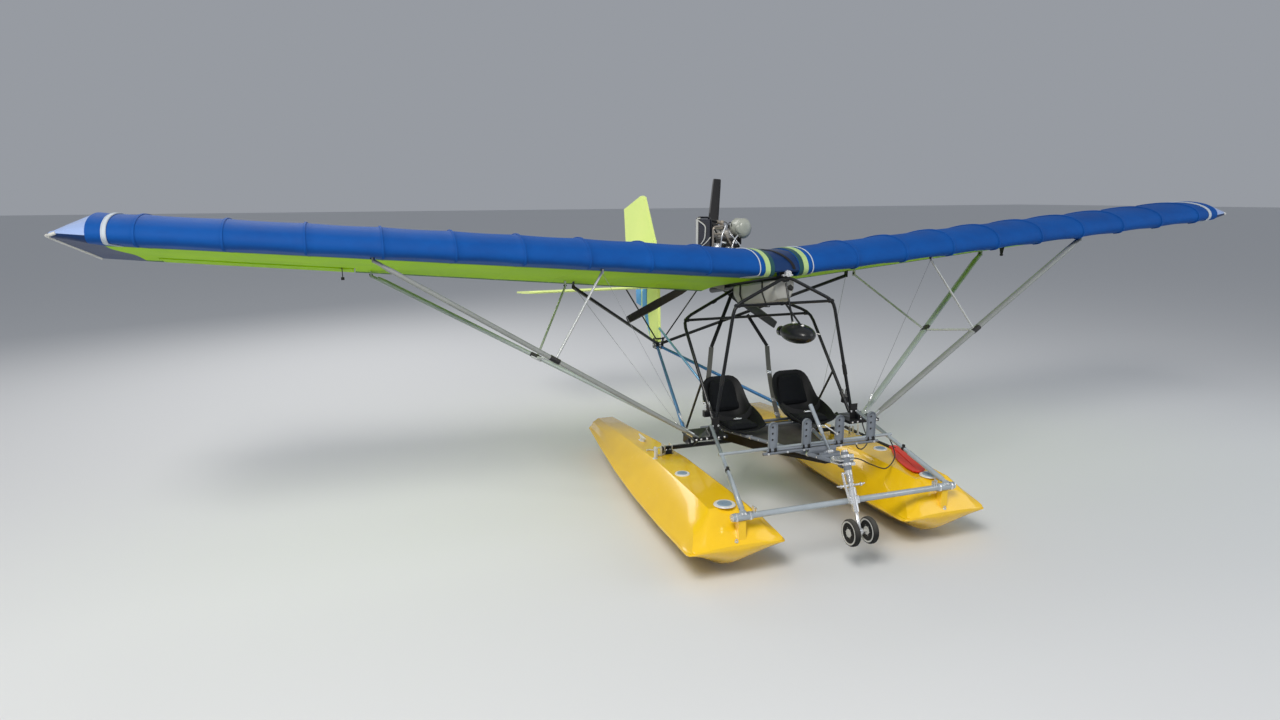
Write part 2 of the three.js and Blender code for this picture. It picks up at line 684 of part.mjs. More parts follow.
// Propeller: a hub with three black ground-adjustable blades behind the gearbox.
const blades = [0, 1, 2].map((i) => {
  const angle = ((PROP.turn + 120 * i) * Math.PI) / 180;
  const out = new THREE.Vector3(Math.cos(angle), 0, Math.sin(angle));
  const across = new THREE.Vector3(-Math.sin(angle), 0, Math.cos(angle));
  const fore = new THREE.Vector3(0, 1, 0);
  const stations = [
    { r: 40, chord: 40, thick: 34, pitch: 60 },
    { r: 140, chord: 56, thick: 30, pitch: 45 },
    { r: 300, chord: 104, thick: 18, pitch: 30 },
    { r: 600, chord: 92, thick: 11, pitch: 19 },
    { r: 860, chord: 66, thick: 7, pitch: 13 },
    { r: PROP.r, chord: 30, thick: 5, pitch: 12 },
  ];
  return loft(
    stations.map((t) => {
      const tilt = (t.pitch * Math.PI) / 180;
      const wide = across.clone().multiplyScalar(Math.cos(tilt)).addScaledVector(fore, Math.sin(tilt));
      const deep = across.clone().multiplyScalar(-Math.sin(tilt)).addScaledVector(fore, Math.cos(tilt));
      return [0, 1, 2, 3, 4, 5, 6, 7].map((k) => {
        const a = (k / 8) * Math.PI * 2;
        const q = out.clone().multiplyScalar(t.r).add(new THREE.Vector3(0, PROP.y, PROP.z));
        q.addScaledVector(wide, (Math.cos(a) * t.chord) / 2);
        q.addScaledVector(deep, (Math.sin(a) * t.thick) / 2);
        return q.toArray();
      });
    }),
  );
});
const hub = join(
  rod([0, 1446, PROP.z], [0, 1504, PROP.z], 66, 20),
  rod([0, 1504, PROP.z], [0, 1530, PROP.z], 30, 16),
  rod([0, 1405 + CLEAR, PROP.z], [0, 1446, PROP.z], 40, 16),
);
piece("propeller", join(hub, ...blades), "#131416", 0.35, 0.1);

// Wing struts: two oval struts on each side, from the cage foot to the spars, steadied by jury struts.
const STRUT_TOPS = {
  front: [STRUT_TOP_X, 55, wingZ(STRUT_TOP_X, 55, -88)],
  rear: [STRUT_TOP_X, 1300, wingZ(STRUT_TOP_X, 1300, -345)],
};
const JURY = {
  x: 1905,
  r: 10,
  front: [1495, 80, wingZ(1495, 80, -92)],
  rear: [1500, 1230, wingZ(1500, 1230, -342)],
};
const wingUnder = (s) => {
  const rings = [ribRing(fullSection, s, ROOT_GAP), ribRing(fullSection, s, HALF_SPAN)];
  return loft(rings.map((ring) => ring.map(([x, y, z]) => [x, y, z - CLEAR])));
};
// A tab that hangs from the wing at a point and holds the end of a tube.
function tab([x, y, z], s, length) {
  return box([s * (x - 5), y - length / 2, z - 14], [s * (x + 5), y + length / 2, z + 62]);
}

const strutOf = (foot, top, s, extra) => blade(flip(foot, s), flip(top, s), 30 + extra, 13 + extra);
for (const { name, s } of SIDES) {
  const seat = box([s * 555, 60 + CLEAR, 770], [s * (850 + CLEAR), -190 - CLEAR, 800 + CLEAR]);
  const front = [[STRUT_FOOT[0], STRUT_FOOT[1] + 22, STRUT_FOOT[2]], STRUT_TOPS.front];
  const rear = [[STRUT_FOOT[0], STRUT_FOOT[1] + 150, STRUT_FOOT[2]], STRUT_TOPS.rear];
  const t = (JURY.x - STRUT_FOOT[0]) / (STRUT_TOP_X - STRUT_FOOT[0]);
  const jury = join(
    rod(flip(mix(front[0], front[1], t), s), flip(JURY.front, s), JURY.r, 8),
    rod(flip(mix(rear[0], rear[1], t), s), flip(JURY.rear, s), JURY.r, 8),
    rod(flip(mix(front[0], front[1], t), s), flip(mix(rear[0], rear[1], t), s), JURY.r, 8),
    tab(JURY.front, s, 40),
    tab(JURY.rear, s, 40),
    ...[front, rear].map(([a, b]) => strutOf(mix(a, b, t - 0.014), mix(a, b, t + 0.014), s, 7)),
  );
  const wing = wingUnder(s);
  const frontStrut = join(strutOf(...front, s, 0), tab(front[1], s, 60));
  const rearStrut = join(strutOf(...rear, s, 0), tab(rear[1], s, 60));
  piece("wing_strut_front_" + name, cut(frontStrut, seat, wing), "#8b9197", 0.4, 0.7);
  piece("wing_strut_rear_" + name, cut(rearStrut, seat, wing), "#8f9d95", 0.4, 0.7);
  const juryCut = cut(jury, strutOf(...front, s, CLEAR), strutOf(...rear, s, CLEAR), wing);
  piece("jury_struts_" + name, juryCut, "#8b9197", 0.4, 0.7);
}

// Tail booms: two from the wing and two from the rear spreader, meeting at the tail fitting.
const tailFitting = box([-45, TAIL_Y - 60, 915], [45, TAIL_Y + 60, 1000]);
piece("tail_fitting", tailFitting, "#18191b", 0.5, 0.4);
const BOOMS = [
  {
    name: "upper",
    from: [1420, 1250, wingZ(1420, 1250, -345)],
    to: [20, 2840, 975],
    r: 17,
    colour: "#17181a",
  },
  { name: "lower", from: BOOM_LOW.from, to: BOOM_LOW.to, r: 17, colour: "#3f78ad" },
];
const CONTROL_TUBE = { from: [-107, 420, 562], to: [0, 2836, 1160], r: 13 };
const fittingRoom = box([-45 - CLEAR, TAIL_Y - 60 - CLEAR, 800], [45 + CLEAR, TAIL_Y + 60, 1100]);
const spreaderRoom = rod([-890, 420, 540], [890, 420, 540], 20 + CLEAR, 10);
for (const { name, s } of SIDES) {
  const wing = wingUnder(s);
  for (const b of BOOMS) {
    const boom = rod(flip(b.from, s), flip(b.to, s), b.r, 8);
    const held = b.name === "upper" ? join(boom, tab(b.from, s, 50)) : boom;
    const clear = cut(held, fittingRoom, spreaderRoom, wing);
    piece("tail_boom_" + b.name + "_" + name, clear, b.colour, 0.45, 0.4);
  }
}

// Control tube: a straight blue tube from the rear spreader to the foot of the fin.
const controlTube = rod(CONTROL_TUBE.from, CONTROL_TUBE.to, CONTROL_TUBE.r, 10);
const finEdge = box([-60, 2820 + 6 - CLEAR, 1080], [60, 2900, 1240]);
piece("control_tube", cut(controlTube, spreaderRoom, finEdge), "#7fb2dc", 0.45, 0.4);

// Nose gear: a steering fork that turns in the head of the floor frame, and twin wheels on one axle.
const AXLE = [0, -1200, 318];
const wheelRoom = rod([-130, AXLE[1], AXLE[2]], [130, AXLE[1], AXLE[2]], 9 + CLEAR, 16);
const fork = join(
  rod(along(-14), along(150), 13, 16),
  rod(along(-14), along(-CLEAR), 24, 16),
  rod(along(130 + CLEAR), along(165), 26, 16),
  rod(along(150), along(330), 17, 12),
  rod(along(300), along(430), 25, 16),
  rod(along(420), along(560), 15, 12),
  rod([-13, AXLE[1], AXLE[2]], [13, AXLE[1], AXLE[2]], 24, 16),
  rod(
    along(240).map((v, k) => v + [-75, 0, 0][k]),
    along(240).map((v, k) => v + [75, 0, 0][k]),
    8,
    8,
  ),
);
piece("nose_fork", cut(fork, wheelRoom), "#b7babc", 0.35, 0.8);
const wheels = join(
  rod([-98, AXLE[1], AXLE[2]], [98, AXLE[1], AXLE[2]], 9, 16),
  ...[-1, 1].map((s) => rod([s * 50, AXLE[1], AXLE[2]], [s * 98, AXLE[1], AXLE[2]], 98, 28)),
);
piece("nose_wheels", wheels, "#1b1b1c", 0.8, 0);

// Tail surfaces: fabric over tube frames, the fin standing on the tail fitting and the stabiliser through it.
const RUDDER_Y = 3400;
const ELEVATOR_Y = 3250;
const STAB = { half: 1510, front: 2600, slope: 0.11, z: 1662, thick: 14 };
const stabZ = (y) => STAB.z - (y - STAB.front) * STAB.slope;
const finOutline = [
  [2820, 1000 + CLEAR],
  [2845, 1600],
  [2950, 2120],
  [3300, 2640],
  [RUDDER_Y - 22, 2655],
  [RUDDER_Y - 22, 1330],
  [3110, 1000 + CLEAR],
];
const stabRing = (x, front, back, s, extra = 0) => [
  [s * x, front - extra, stabZ(front)],
  [s * x, front + 40, stabZ(front + 40) + STAB.thick + extra],
  [s * x, back + extra, stabZ(back) + STAB.thick + extra],
  [s * x, back + extra, stabZ(back) - STAB.thick - extra],
  [s * x, front + 40, stabZ(front + 40) - STAB.thick - extra],
];
const stabSlot = join(
  loft([-1, 1].map((s) => stabRing(80, STAB.front, ELEVATOR_Y - 18, s, CLEAR))),
  box([-60, ELEVATOR_Y - 30, stabZ(ELEVATOR_Y) - 16], [60, ELEVATOR_Y + 16, stabZ(ELEVATOR_Y) + 16]),
);
const rudderHinges = [1400, 1900, 2500];
const finLugs = rudderHinges.map((z) => {
  const tab = box([-7, RUDDER_Y - 30, z - 4], [7, RUDDER_Y, z + 4]);
  return join(rod([0, RUDDER_Y, z - 4], [0, RUDDER_Y, z + 4], 9, 12), tab);
});
const fin = cut(plate(finOutline, 0, 16), stabSlot);
piece("fin", join(fin, ...finLugs), "#a4dd2a", 0.7, 0);
const rudderOutline = [
  [RUDDER_Y - 12, 1340],
  [RUDDER_Y - 12, 2645],
  [RUDDER_Y + 40, 2650],
  [4060, 2490],
  [4010, 2100],
  [3640, 1530],
  [3560, 1420],
  [RUDDER_Y + 40, 1340],
];
const rudderSlots = rudderHinges.map((z) => box([-40, RUDDER_Y - 40, z - 4.3], [40, RUDDER_Y + 10, z + 4.3]));
const elevatorRoom = box([-60, 3000, stabZ(RUDDER_Y) - 28], [60, RUDDER_Y + 30, stabZ(RUDDER_Y) + 60]);
piece("rudder", cut(plate(rudderOutline, 0, 12), ...rudderSlots, elevatorRoom), "#a4dd2a", 0.7, 0);

// Stabiliser: one fixed surface through the slot of the fin, with hinge lugs for the elevator.
const stabHinges = [260, 860, 1400];
const stabParts = [
  loft([
    stabRing(STAB.half, 2760, ELEVATOR_Y - 18, -1),
    stabRing(STAB.half - 20, 2670, ELEVATOR_Y - 18, -1),
    stabRing(STAB.half - 100, 2620, ELEVATOR_Y - 18, -1),
    stabRing(0, STAB.front, ELEVATOR_Y - 18, 1),
    stabRing(STAB.half - 100, 2620, ELEVATOR_Y - 18, 1),
    stabRing(STAB.half - 20, 2670, ELEVATOR_Y - 18, 1),
    stabRing(STAB.half, 2760, ELEVATOR_Y - 18, 1),
  ]),
];
const lugZ = stabZ(ELEVATOR_Y);
const lugSlot = (s, x) =>
  box([s * (x - 4.3), ELEVATOR_Y - 40, lugZ - 40], [s * (x + 4.3), ELEVATOR_Y + 10, lugZ + 40]);
for (const { s } of SIDES) {
  for (const x of stabHinges) {
    stabParts.push(rod([s * (x - 4), ELEVATOR_Y, lugZ], [s * (x + 4), ELEVATOR_Y, lugZ], 9, 12));
    stabParts.push(box([s * (x - 4), ELEVATOR_Y - 26, lugZ - 6], [s * (x + 4), ELEVATOR_Y, lugZ + 6]));
  }
}
piece("stabiliser", join(...stabParts), "#a4dd2a", 0.7, 0);

// Stabiliser struts: a pair of thin tubes that meet at the foot of the fin.
const stabRoom = (s) =>
  loft([0, 900].map((x) => stabRing(x, STAB.front, ELEVATOR_Y - 18, s, CLEAR)));
const stabStruts = SIDES.map(({ s }) => {
  return cut(rod([s * 48, 2812, 1040], [s * 450, 2690, 1650], 8, 8), stabRoom(s));
});
const stabBolt = rod([-56, 2812.5, 1040], [56, 2812.5, 1040], 8);
piece("stabiliser_struts", join(stabBolt, ...stabStruts), "#17181a", 0.45, 0.3);

// Elevator: two halves on one torque tube, cut back in the middle so that the rudder can swing.
const elevatorParts = [rod([-400, ELEVATOR_Y, lugZ], [400, ELEVATOR_Y, lugZ], 9, 12)];
for (const { s } of SIDES) {
  const outline = [
    [75, ELEVATOR_Y],
    [75, ELEVATOR_Y + 40],
    [370, 3740],
    [1400, 3700],
    [1490, 3620],
    [1490, ELEVATOR_Y],
  ];
  const ring = (z) => outline.map(([x, y]) => [s * x, y, stabZ(y) + z]);
  const half = loft([ring(-10), ring(10)]);
  const slots = stabHinges.map((x) => lugSlot(s, x));
  const cutHalf = cut(half, ...slots);
  elevatorParts.push(cutHalf);
}
const elevatorSlots = SIDES.flatMap(({ s }) => stabHinges.map((x) => lugSlot(s, x)));
piece("elevator", cut(join(...elevatorParts), ...elevatorSlots), "#a4dd2a", 0.7, 0);

export default group;
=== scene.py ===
import math

import bmesh
import bpy
from mathutils import Euler, Matrix, Vector


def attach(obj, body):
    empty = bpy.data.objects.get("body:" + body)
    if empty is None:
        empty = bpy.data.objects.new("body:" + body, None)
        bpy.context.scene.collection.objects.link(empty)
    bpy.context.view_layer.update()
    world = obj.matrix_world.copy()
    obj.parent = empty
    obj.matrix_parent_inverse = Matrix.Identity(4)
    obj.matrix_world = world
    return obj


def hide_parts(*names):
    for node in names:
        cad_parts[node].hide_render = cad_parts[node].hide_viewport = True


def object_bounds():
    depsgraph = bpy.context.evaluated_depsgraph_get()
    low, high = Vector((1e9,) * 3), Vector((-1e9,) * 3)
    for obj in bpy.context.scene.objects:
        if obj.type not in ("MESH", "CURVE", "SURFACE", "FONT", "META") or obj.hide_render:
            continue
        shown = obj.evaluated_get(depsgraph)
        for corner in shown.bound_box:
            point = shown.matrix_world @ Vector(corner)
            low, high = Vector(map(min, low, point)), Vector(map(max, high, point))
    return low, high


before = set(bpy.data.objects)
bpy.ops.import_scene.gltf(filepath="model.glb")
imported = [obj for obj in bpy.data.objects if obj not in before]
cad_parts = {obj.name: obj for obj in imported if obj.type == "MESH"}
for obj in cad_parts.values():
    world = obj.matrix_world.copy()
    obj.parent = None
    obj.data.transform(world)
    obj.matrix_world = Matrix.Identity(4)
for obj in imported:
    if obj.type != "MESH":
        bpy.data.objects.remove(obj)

cad_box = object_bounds()

# The view: low on the water side, ahead of the nose and to starboard, level with the wing.
# Points are given as x to port, y aft of the wing's nose and z above the keels, in metres.
MIDDLE_Y = 1.381


def at(x, y, z):
    return Vector((x, y - MIDDLE_Y, z))


camera_data = bpy.data.cameras.new("view_camera")
camera_data.sensor_width = 36
camera_data.lens = 22.5
camera_data.clip_end = 400
camera = bpy.data.objects.new("view_camera", camera_data)
bpy.context.scene.collection.objects.link(camera)
camera.location = at(-3.22, -5.70, 2.66)
look = Euler((math.radians(90 - 11.63), 0, math.radians(-19.27))).to_matrix()
roll = Matrix.Rotation(math.radians(-0.30), 3, "Z")
camera.rotation_euler = (look @ roll).to_euler()
bpy.context.scene.camera = camera
bpy.context.scene.view_settings.view_transform = "Standard"

# The studio: a plain pale floor under even light, with one broad key from ahead and above.
# The floor is wide enough to reach the horizon behind the wing.
floor_mesh = bmesh.new()
bmesh.ops.create_grid(floor_mesh, x_segments=1, y_segments=1, size=150)
floor_data = bpy.data.meshes.new("studio_floor")
floor_mesh.to_mesh(floor_data)
floor_mesh.free()
floor = bpy.data.objects.new("studio_floor", floor_data)
bpy.context.scene.collection.objects.link(floor)
floor_paint = bpy.data.materials.new("studio_floor")
floor_paint.use_nodes = True
floor_paint.node_tree.nodes["Principled BSDF"].inputs["Base Color"].default_value = (0.68, 0.69, 0.70, 1)
floor_paint.node_tree.nodes["Principled BSDF"].inputs["Roughness"].default_value = 0.9
floor_data.materials.append(floor_paint)

world = bpy.data.worlds.new("studio_air")
bpy.context.scene.world = world
world.use_nodes = True
world.node_tree.nodes["Background"].inputs["Color"].default_value = (0.86, 0.91, 1.0, 1)
world.node_tree.nodes["Background"].inputs["Strength"].default_value = 0.36


def soft_light(name, place, aim, size, power, tint):
    data = bpy.data.lights.new(name, "AREA")
    data.size = size
    data.energy = power
    data.color = tint
    lamp = bpy.data.objects.new(name, data)
    lamp.location = place
    lamp.rotation_euler = (Vector(aim) - Vector(place)).to_track_quat("-Z", "Y").to_euler()
    bpy.context.scene.collection.objects.link(lamp)


soft_light("key_light", (-6, -8, 9), (0, -1, 1), 4, 1020, (1.0, 0.97, 0.92))
soft_light("fill_light", (7, -6, 5), (0, -1, 1), 6, 170, (0.92, 0.96, 1.0))
soft_light("rear_light", (-4, 8, 8), (0, 0, 1.5), 6, 420, (1.0, 0.98, 0.95))

# Nose cables and deck rope: two sheathed control cables hang in loops between the float frame and the nose.
# A short braided rope lies on the starboard deck, made fast to the bracket there.
def shade_group(name, inputs, outputs):
    group = bpy.data.node_groups.new(name, "ShaderNodeTree")
    for label, value in inputs:
        made = group.interface.new_socket(label, in_out="INPUT", socket_type="NodeSocketFloat")
        made.default_value = value
    for label in outputs:
        group.interface.new_socket(label, in_out="OUTPUT", socket_type="NodeSocketFloat")
    start = group.nodes.new("NodeGroupInput")
    end = group.nodes.new("NodeGroupOutput")
    place = group.nodes.new("ShaderNodeTexCoord")
    return group, start, end, place


def math_node(tree, kind, first, second=None, third=None):
    node = tree.nodes.new("ShaderNodeMath")
    node.operation = kind
    for slot, value in enumerate((first, second, third)):
        if value is None:
            continue
        if isinstance(value, (int, float)):
            node.inputs[slot].default_value = value
        else:
            tree.links.new(value, node.inputs[slot])
    return node.outputs[0]


def noise_node(tree, vector, scale, detail=3.0, rough=0.55):
    node = tree.nodes.new("ShaderNodeTexNoise")
    node.inputs["Detail"].default_value = detail
    node.inputs["Roughness"].default_value = rough
    tree.links.new(vector, node.inputs["Vector"])
    if isinstance(scale, (int, float)):
        node.inputs["Scale"].default_value = scale
    else:
        tree.links.new(scale, node.inputs["Scale"])
    return node.outputs[0]


def mixed(tree, factor, first, second, how="MIX"):
    node = tree.nodes.new("ShaderNodeMix")
    node.data_type = "RGBA"
    node.blend_type = how
    if isinstance(factor, (int, float)):
        node.inputs[0].default_value = factor
    else:
        tree.links.new(factor, node.inputs[0])
    for slot, value in ((6, first), (7, second)):
        if isinstance(value, tuple):
            node.inputs[slot].default_value = (*value, 1)
        else:
            tree.links.new(value, node.inputs[slot])
    return node.outputs[2]


def placed(tree, group, **values):
    node = tree.nodes.new("ShaderNodeGroup")
    node.node_tree = group
    for label, value in values.items():
        node.inputs[label].default_value = value
    return node


def bumped(tree, shader, height, strength, distance):
    node = tree.nodes.new("ShaderNodeBump")
    node.inputs["Strength"].default_value = strength
    node.inputs["Distance"].default_value = distance
    tree.links.new(height, node.inputs["Height"])
    tree.links.new(node.outputs[0], shader.inputs["Normal"])


def plain_finish(name, roughness, metallic=0.0):
    made = bpy.data.materials.new(name)
    made.use_nodes = True
    shader = made.node_tree.nodes["Principled BSDF"]
    shader.inputs["Roughness"].default_value = roughness
    shader.inputs["Metallic"].default_value = metallic
    return made, made.node_tree, shader


def ramped(tree, value, low, high, start=0.0, end=1.0):
    node = tree.nodes.new("ShaderNodeMapRange")
    node.inputs["From Min"].default_value = start
    node.inputs["From Max"].default_value = end
    node.inputs["To Min"].default_value = low
    node.inputs["To Max"].default_value = high
    tree.links.new(value, node.inputs["Value"])
    return node.outputs[0]


scuffs, start, end, place = shade_group("scuffs", [("Scale", 9.0), ("Amount", 0.5)], ["Mask", "Height"])
broad = noise_node(scuffs, place.outputs["Object"], start.outputs["Scale"], 6.0, 0.7)
fine = noise_node(scuffs, place.outputs["Object"], 160.0, 4.0, 0.6)
reach = math_node(scuffs, "SUBTRACT", 0.78, math_node(scuffs, "MULTIPLY", start.outputs["Amount"], 0.3))
mask = math_node(scuffs, "MULTIPLY", math_node(scuffs, "SUBTRACT", broad, reach), 7.0)
mask.node.use_clamp = True
scuffs.links.new(math_node(scuffs, "MULTIPLY", mask, fine), end.inputs["Mask"])
both = math_node(scuffs, "MULTIPLY_ADD", fine, 0.5, math_node(scuffs, "MULTIPLY", broad, 0.5))
scuffs.links.new(both, end.inputs["Height"])

grain, start, end, place = shade_group("fine_grain", [("Scale", 420.0)], ["Height", "Shade"])
speckle = noise_node(grain, place.outputs["Object"], start.outputs["Scale"], 2.0)
cloud = noise_node(grain, place.outputs["Object"], 6.0, 4.0)
grain.links.new(speckle, end.inputs["Height"])
grain.links.new(cloud, end.inputs["Shade"])

dust, start, end, place = shade_group("settled_dust", [("Amount", 0.3)], ["Mask"])
facing = dust.nodes.new("ShaderNodeNewGeometry")
split = dust.nodes.new("ShaderNodeSeparateXYZ")
dust.links.new(facing.outputs["Normal"], split.inputs[0])
upward = math_node(dust, "MAXIMUM", split.outputs["Z"], 0.0)
patchy = math_node(dust, "MULTIPLY", upward, noise_node(dust, place.outputs["Object"], 11.0, 5.0, 0.65))
dust.links.new(math_node(dust, "MULTIPLY", patchy, start.outputs["Amount"]), end.inputs["Mask"])


def coated(name, colour, rough=0.4, dusty=0.25, chips=(0.3, 0.3, 0.31), coat=0.0):
    made, tree, shader = plain_finish(name, rough)
    skin = placed(tree, grain, Scale=600.0)
    worn = placed(tree, scuffs, Scale=14.0, Amount=0.35)
    settled = placed(tree, dust, Amount=dusty)
    dark, light = tuple(c * 0.8 for c in colour), tuple(min(1, c * 1.2) for c in colour)
    base = mixed(tree, skin.outputs["Shade"], dark, light)
    base = mixed(tree, math_node(tree, "MULTIPLY", worn.outputs["Mask"], 0.6), base, chips)
    base = mixed(tree, settled.outputs["Mask"], base, (0.33, 0.31, 0.27))
    tree.links.new(base, shader.inputs["Base Color"])
    tree.links.new(ramped(tree, worn.outputs["Height"], rough - 0.1, rough + 0.15), shader.inputs["Roughness"])
    bumped(tree, shader, skin.outputs["Height"], 0.12, 0.0006)
    shader.inputs["Specular IOR Level"].default_value = 0.3
    shader.inputs["Coat Weight"].default_value = coat
    shader.inputs["Coat Roughness"].default_value = 0.08
    return made


def eased(points, steps):
    made = []
    for i in range(len(points) - 1):
        a, b, c, d = (Vector(points[min(max(i + k, 0), len(points) - 1)]) for k in (-1, 0, 1, 2))
        for k in range(steps):
            t = k / steps
            made.append(0.5 * (2 * b + (c - a) * t + (2 * a - 5 * b + 4 * c - d) * t * t + (3 * b - a - 3 * c + d) * t**3))
    made.append(Vector(points[-1]))
    return made


def rounded(points, reach, steps=5):
    path = [Vector(points[0])]
    for before, corner, after in zip(points, points[1:], points[2:]):
        before, corner, after = Vector(before), Vector(corner), Vector(after)
        back, on = before - corner, after - corner
        r = min(reach, back.length * 0.45, on.length * 0.45)
        start, end = corner + back.normalized() * r, corner + on.normalized() * r
        for k in range(steps + 1):
            t = k / steps
            path.append(start * (1 - t) ** 2 + corner * 2 * t * (1 - t) + end * t * t)
    path.append(Vector(points[-1]))
    return path


def grow(mesh, ring, edges, spots):
    grown = set(bmesh.ops.extrude_edge_only(mesh, edges=edges)["geom"])
    edges = [g for g in grown if isinstance(g, bmesh.types.BMEdge)]
    ring = [next(w for w in (e.other_vert(v) for e in v.link_edges) if w in grown) for v in ring]
    for v, spot in zip(ring, spots):
        v.co = spot
    return ring, edges


def lofted(mesh, sections):
    ring = [mesh.verts.new(p) for p in sections[0]]
    edges = [mesh.edges.new((a, b)) for a, b in zip(ring, ring[1:] + ring[:1])]
    first = list(edges)
    for spots in sections[1:]:
        ring, edges = grow(mesh, ring, edges, spots)
    for loop in (first, edges):
        bmesh.ops.contextual_create(mesh, geom=loop)


def tube(mesh, points, radius, sides=14, radii=None, flat=1.0):
    path = [Vector(p) for p in points]
    ways = [(b - a).normalized() for a, b in zip(path, path[1:])]
    aim = ways[0].to_track_quat("Z", "Y")
    sections = []
    for i, p in enumerate(path):
        along = (ways[i - 1] + ways[i]).normalized() if 0 < i < len(path) - 1 else ways[min(i, len(ways) - 1)]
        aim = (aim @ Vector((0, 0, 1))).rotation_difference(along) @ aim
        r = radii[i] if radii else radius
        turn = [math.tau * k / sides for k in range(sides)]
        sections.append([p + aim @ Vector((math.cos(a) * r, math.sin(a) * r * flat, 0)) for a in turn])
    lofted(mesh, sections)


def add(name, mesh, finishes, body="airframe", stands_for=(), smooth=38, bevel=0.0):
    bmesh.ops.recalc_face_normals(mesh, faces=mesh.faces)
    data = bpy.data.meshes.new(name)
    mesh.to_mesh(data)
    mesh.free()
    data.shade_smooth()
    data.set_sharp_from_angle(angle=math.radians(smooth))
    piece = bpy.data.objects.new(name, data)
    bpy.context.scene.collection.objects.link(piece)
    for finish in finishes if isinstance(finishes, list) else [finishes]:
        data.materials.append(finish)
    if bevel:
        edge = piece.modifiers.new("edge", "BEVEL")
        edge.width = bevel
        edge.segments = 2
        edge.limit_method = "ANGLE"
        edge.angle_limit = math.radians(30)
    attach(piece, body)
    if stands_for:
        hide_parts(*stands_for)
    return piece


cable_sheath = coated("cable_sheath", (0.012, 0.012, 0.013), 0.45, 0.3, (0.05, 0.05, 0.05))
braid, tree, shader = plain_finish("braided_rope", 0.85)
lay = placed(tree, grain, Scale=150.0)
tint = mixed(tree, lay.outputs["Shade"], (0.60, 0.56, 0.46), (0.86, 0.83, 0.76))
tree.links.new(tint, shader.inputs["Base Color"])
tree.links.new(ramped(tree, lay.outputs["Height"], 0.75, 0.95), shader.inputs["Roughness"])
strands = tree.nodes.new("ShaderNodeTexWave")
strands.bands_direction = "DIAGONAL"
strands.inputs["Scale"].default_value = 60.0
strands.inputs["Distortion"].default_value = 1.5
place = tree.nodes.new("ShaderNodeTexCoord")
tree.links.new(place.outputs["Object"], strands.inputs["Vector"])
bumped(tree, shader, strands.outputs["Fac"], 0.6, 0.003)

OUTER_CABLE = [
    (0.752, -0.471, 0.7345), (0.758, -0.474, 0.705), (0.776, -0.494, 0.650), (0.774, -0.530, 0.582),
    (0.727, -0.560, 0.536), (0.632, -0.630, 0.530), (0.540, -0.690, 0.553), (0.343, -0.800, 0.649),
    (0.212, -0.885, 0.721), (0.120, -0.935, 0.763), (0.029, -0.969, 0.7845),
]
INNER_CABLE = [
    (0.700, -0.175, 0.7745), (0.700, -0.180, 0.752), (0.685, -0.235, 0.712), (0.640, -0.340, 0.684),
    (0.553, -0.450, 0.676), (0.406, -0.600, 0.700), (0.330, -0.655, 0.732), (0.304, -0.664, 0.7665),
]
DECK_ROPE = [
    (-0.882, 0.382, 0.501), (-0.905, 0.366, 0.502), (-0.936, 0.362, 0.503), (-0.952, 0.392, 0.501),
    (-0.940, 0.436, 0.499), (-0.920, 0.490, 0.495), (-0.924, 0.540, 0.492), (-0.950, 0.566, 0.490),
    (-0.975, 0.560, 0.490),
]
for name, route, r, run, far, give, lie, finish, slot in (
    ("nose_cable_outer", OUTER_CABLE, 0.005, 1.105, "object", "medium", "hanging", cable_sheath, "cable_black"),
    ("nose_cable_inner", INNER_CABLE, 0.005, 0.710, "object", "medium", "hanging", cable_sheath, "cable_black"),
    ("deck_rope", DECK_ROPE, 0.007, 0.314, "bare", "limp", "loose", braid, "rope_white"),
):
    path = [at(*p) for p in eased(route, 4)]
    cord = bmesh.new()
    tube(cord, path, r, 12)
    made = add(name + "_line", cord, finish, stands_for=[name], smooth=60)


# Wing skin: heavy polyester sailcloth laced over alloy ribs, blue over the nose and the top.
# It is pulled tight, stands up in a ridge on each rib and sinks a little between them.
weave_and_shade, start, end, place = shade_group("sailcloth_weave_and_shade", [("Threads", 700.0), ("Slack", 1.0)], ["Height", "Shade"])
bands = []
for direction in "XY":
    band_wave = weave_and_shade.nodes.new("ShaderNodeTexWave")
    band_wave.wave_type = "BANDS"
    band_wave.bands_direction = direction
    weave_and_shade.links.new(place.outputs["Object"], band_wave.inputs["Vector"])
    weave_and_shade.links.new(start.outputs["Threads"], band_wave.inputs["Scale"])
    bands.append(band_wave.outputs["Fac"])
threads = math_node(weave_and_shade, "MULTIPLY", bands[0], bands[1])
slack = noise_node(weave_and_shade, place.outputs["Object"], 2.2, 2.0)
pucker = noise_node(weave_and_shade, place.outputs["Object"], 14.0, 3.0)
soft = math_node(weave_and_shade, "MULTIPLY_ADD", slack, 0.7, math_node(weave_and_shade, "MULTIPLY", pucker, 0.3))
relief = math_node(weave_and_shade, "MULTIPLY_ADD", soft, start.outputs["Slack"], math_node(weave_and_shade, "MULTIPLY", threads, 0.05))
weave_and_shade.links.new(relief, end.inputs["Height"])
# The Shade output is the same slack relief, so any colour laid on with it is painted shade: darker where the cloth
# sinks.
weave_and_shade.links.new(soft, end.inputs["Shade"])


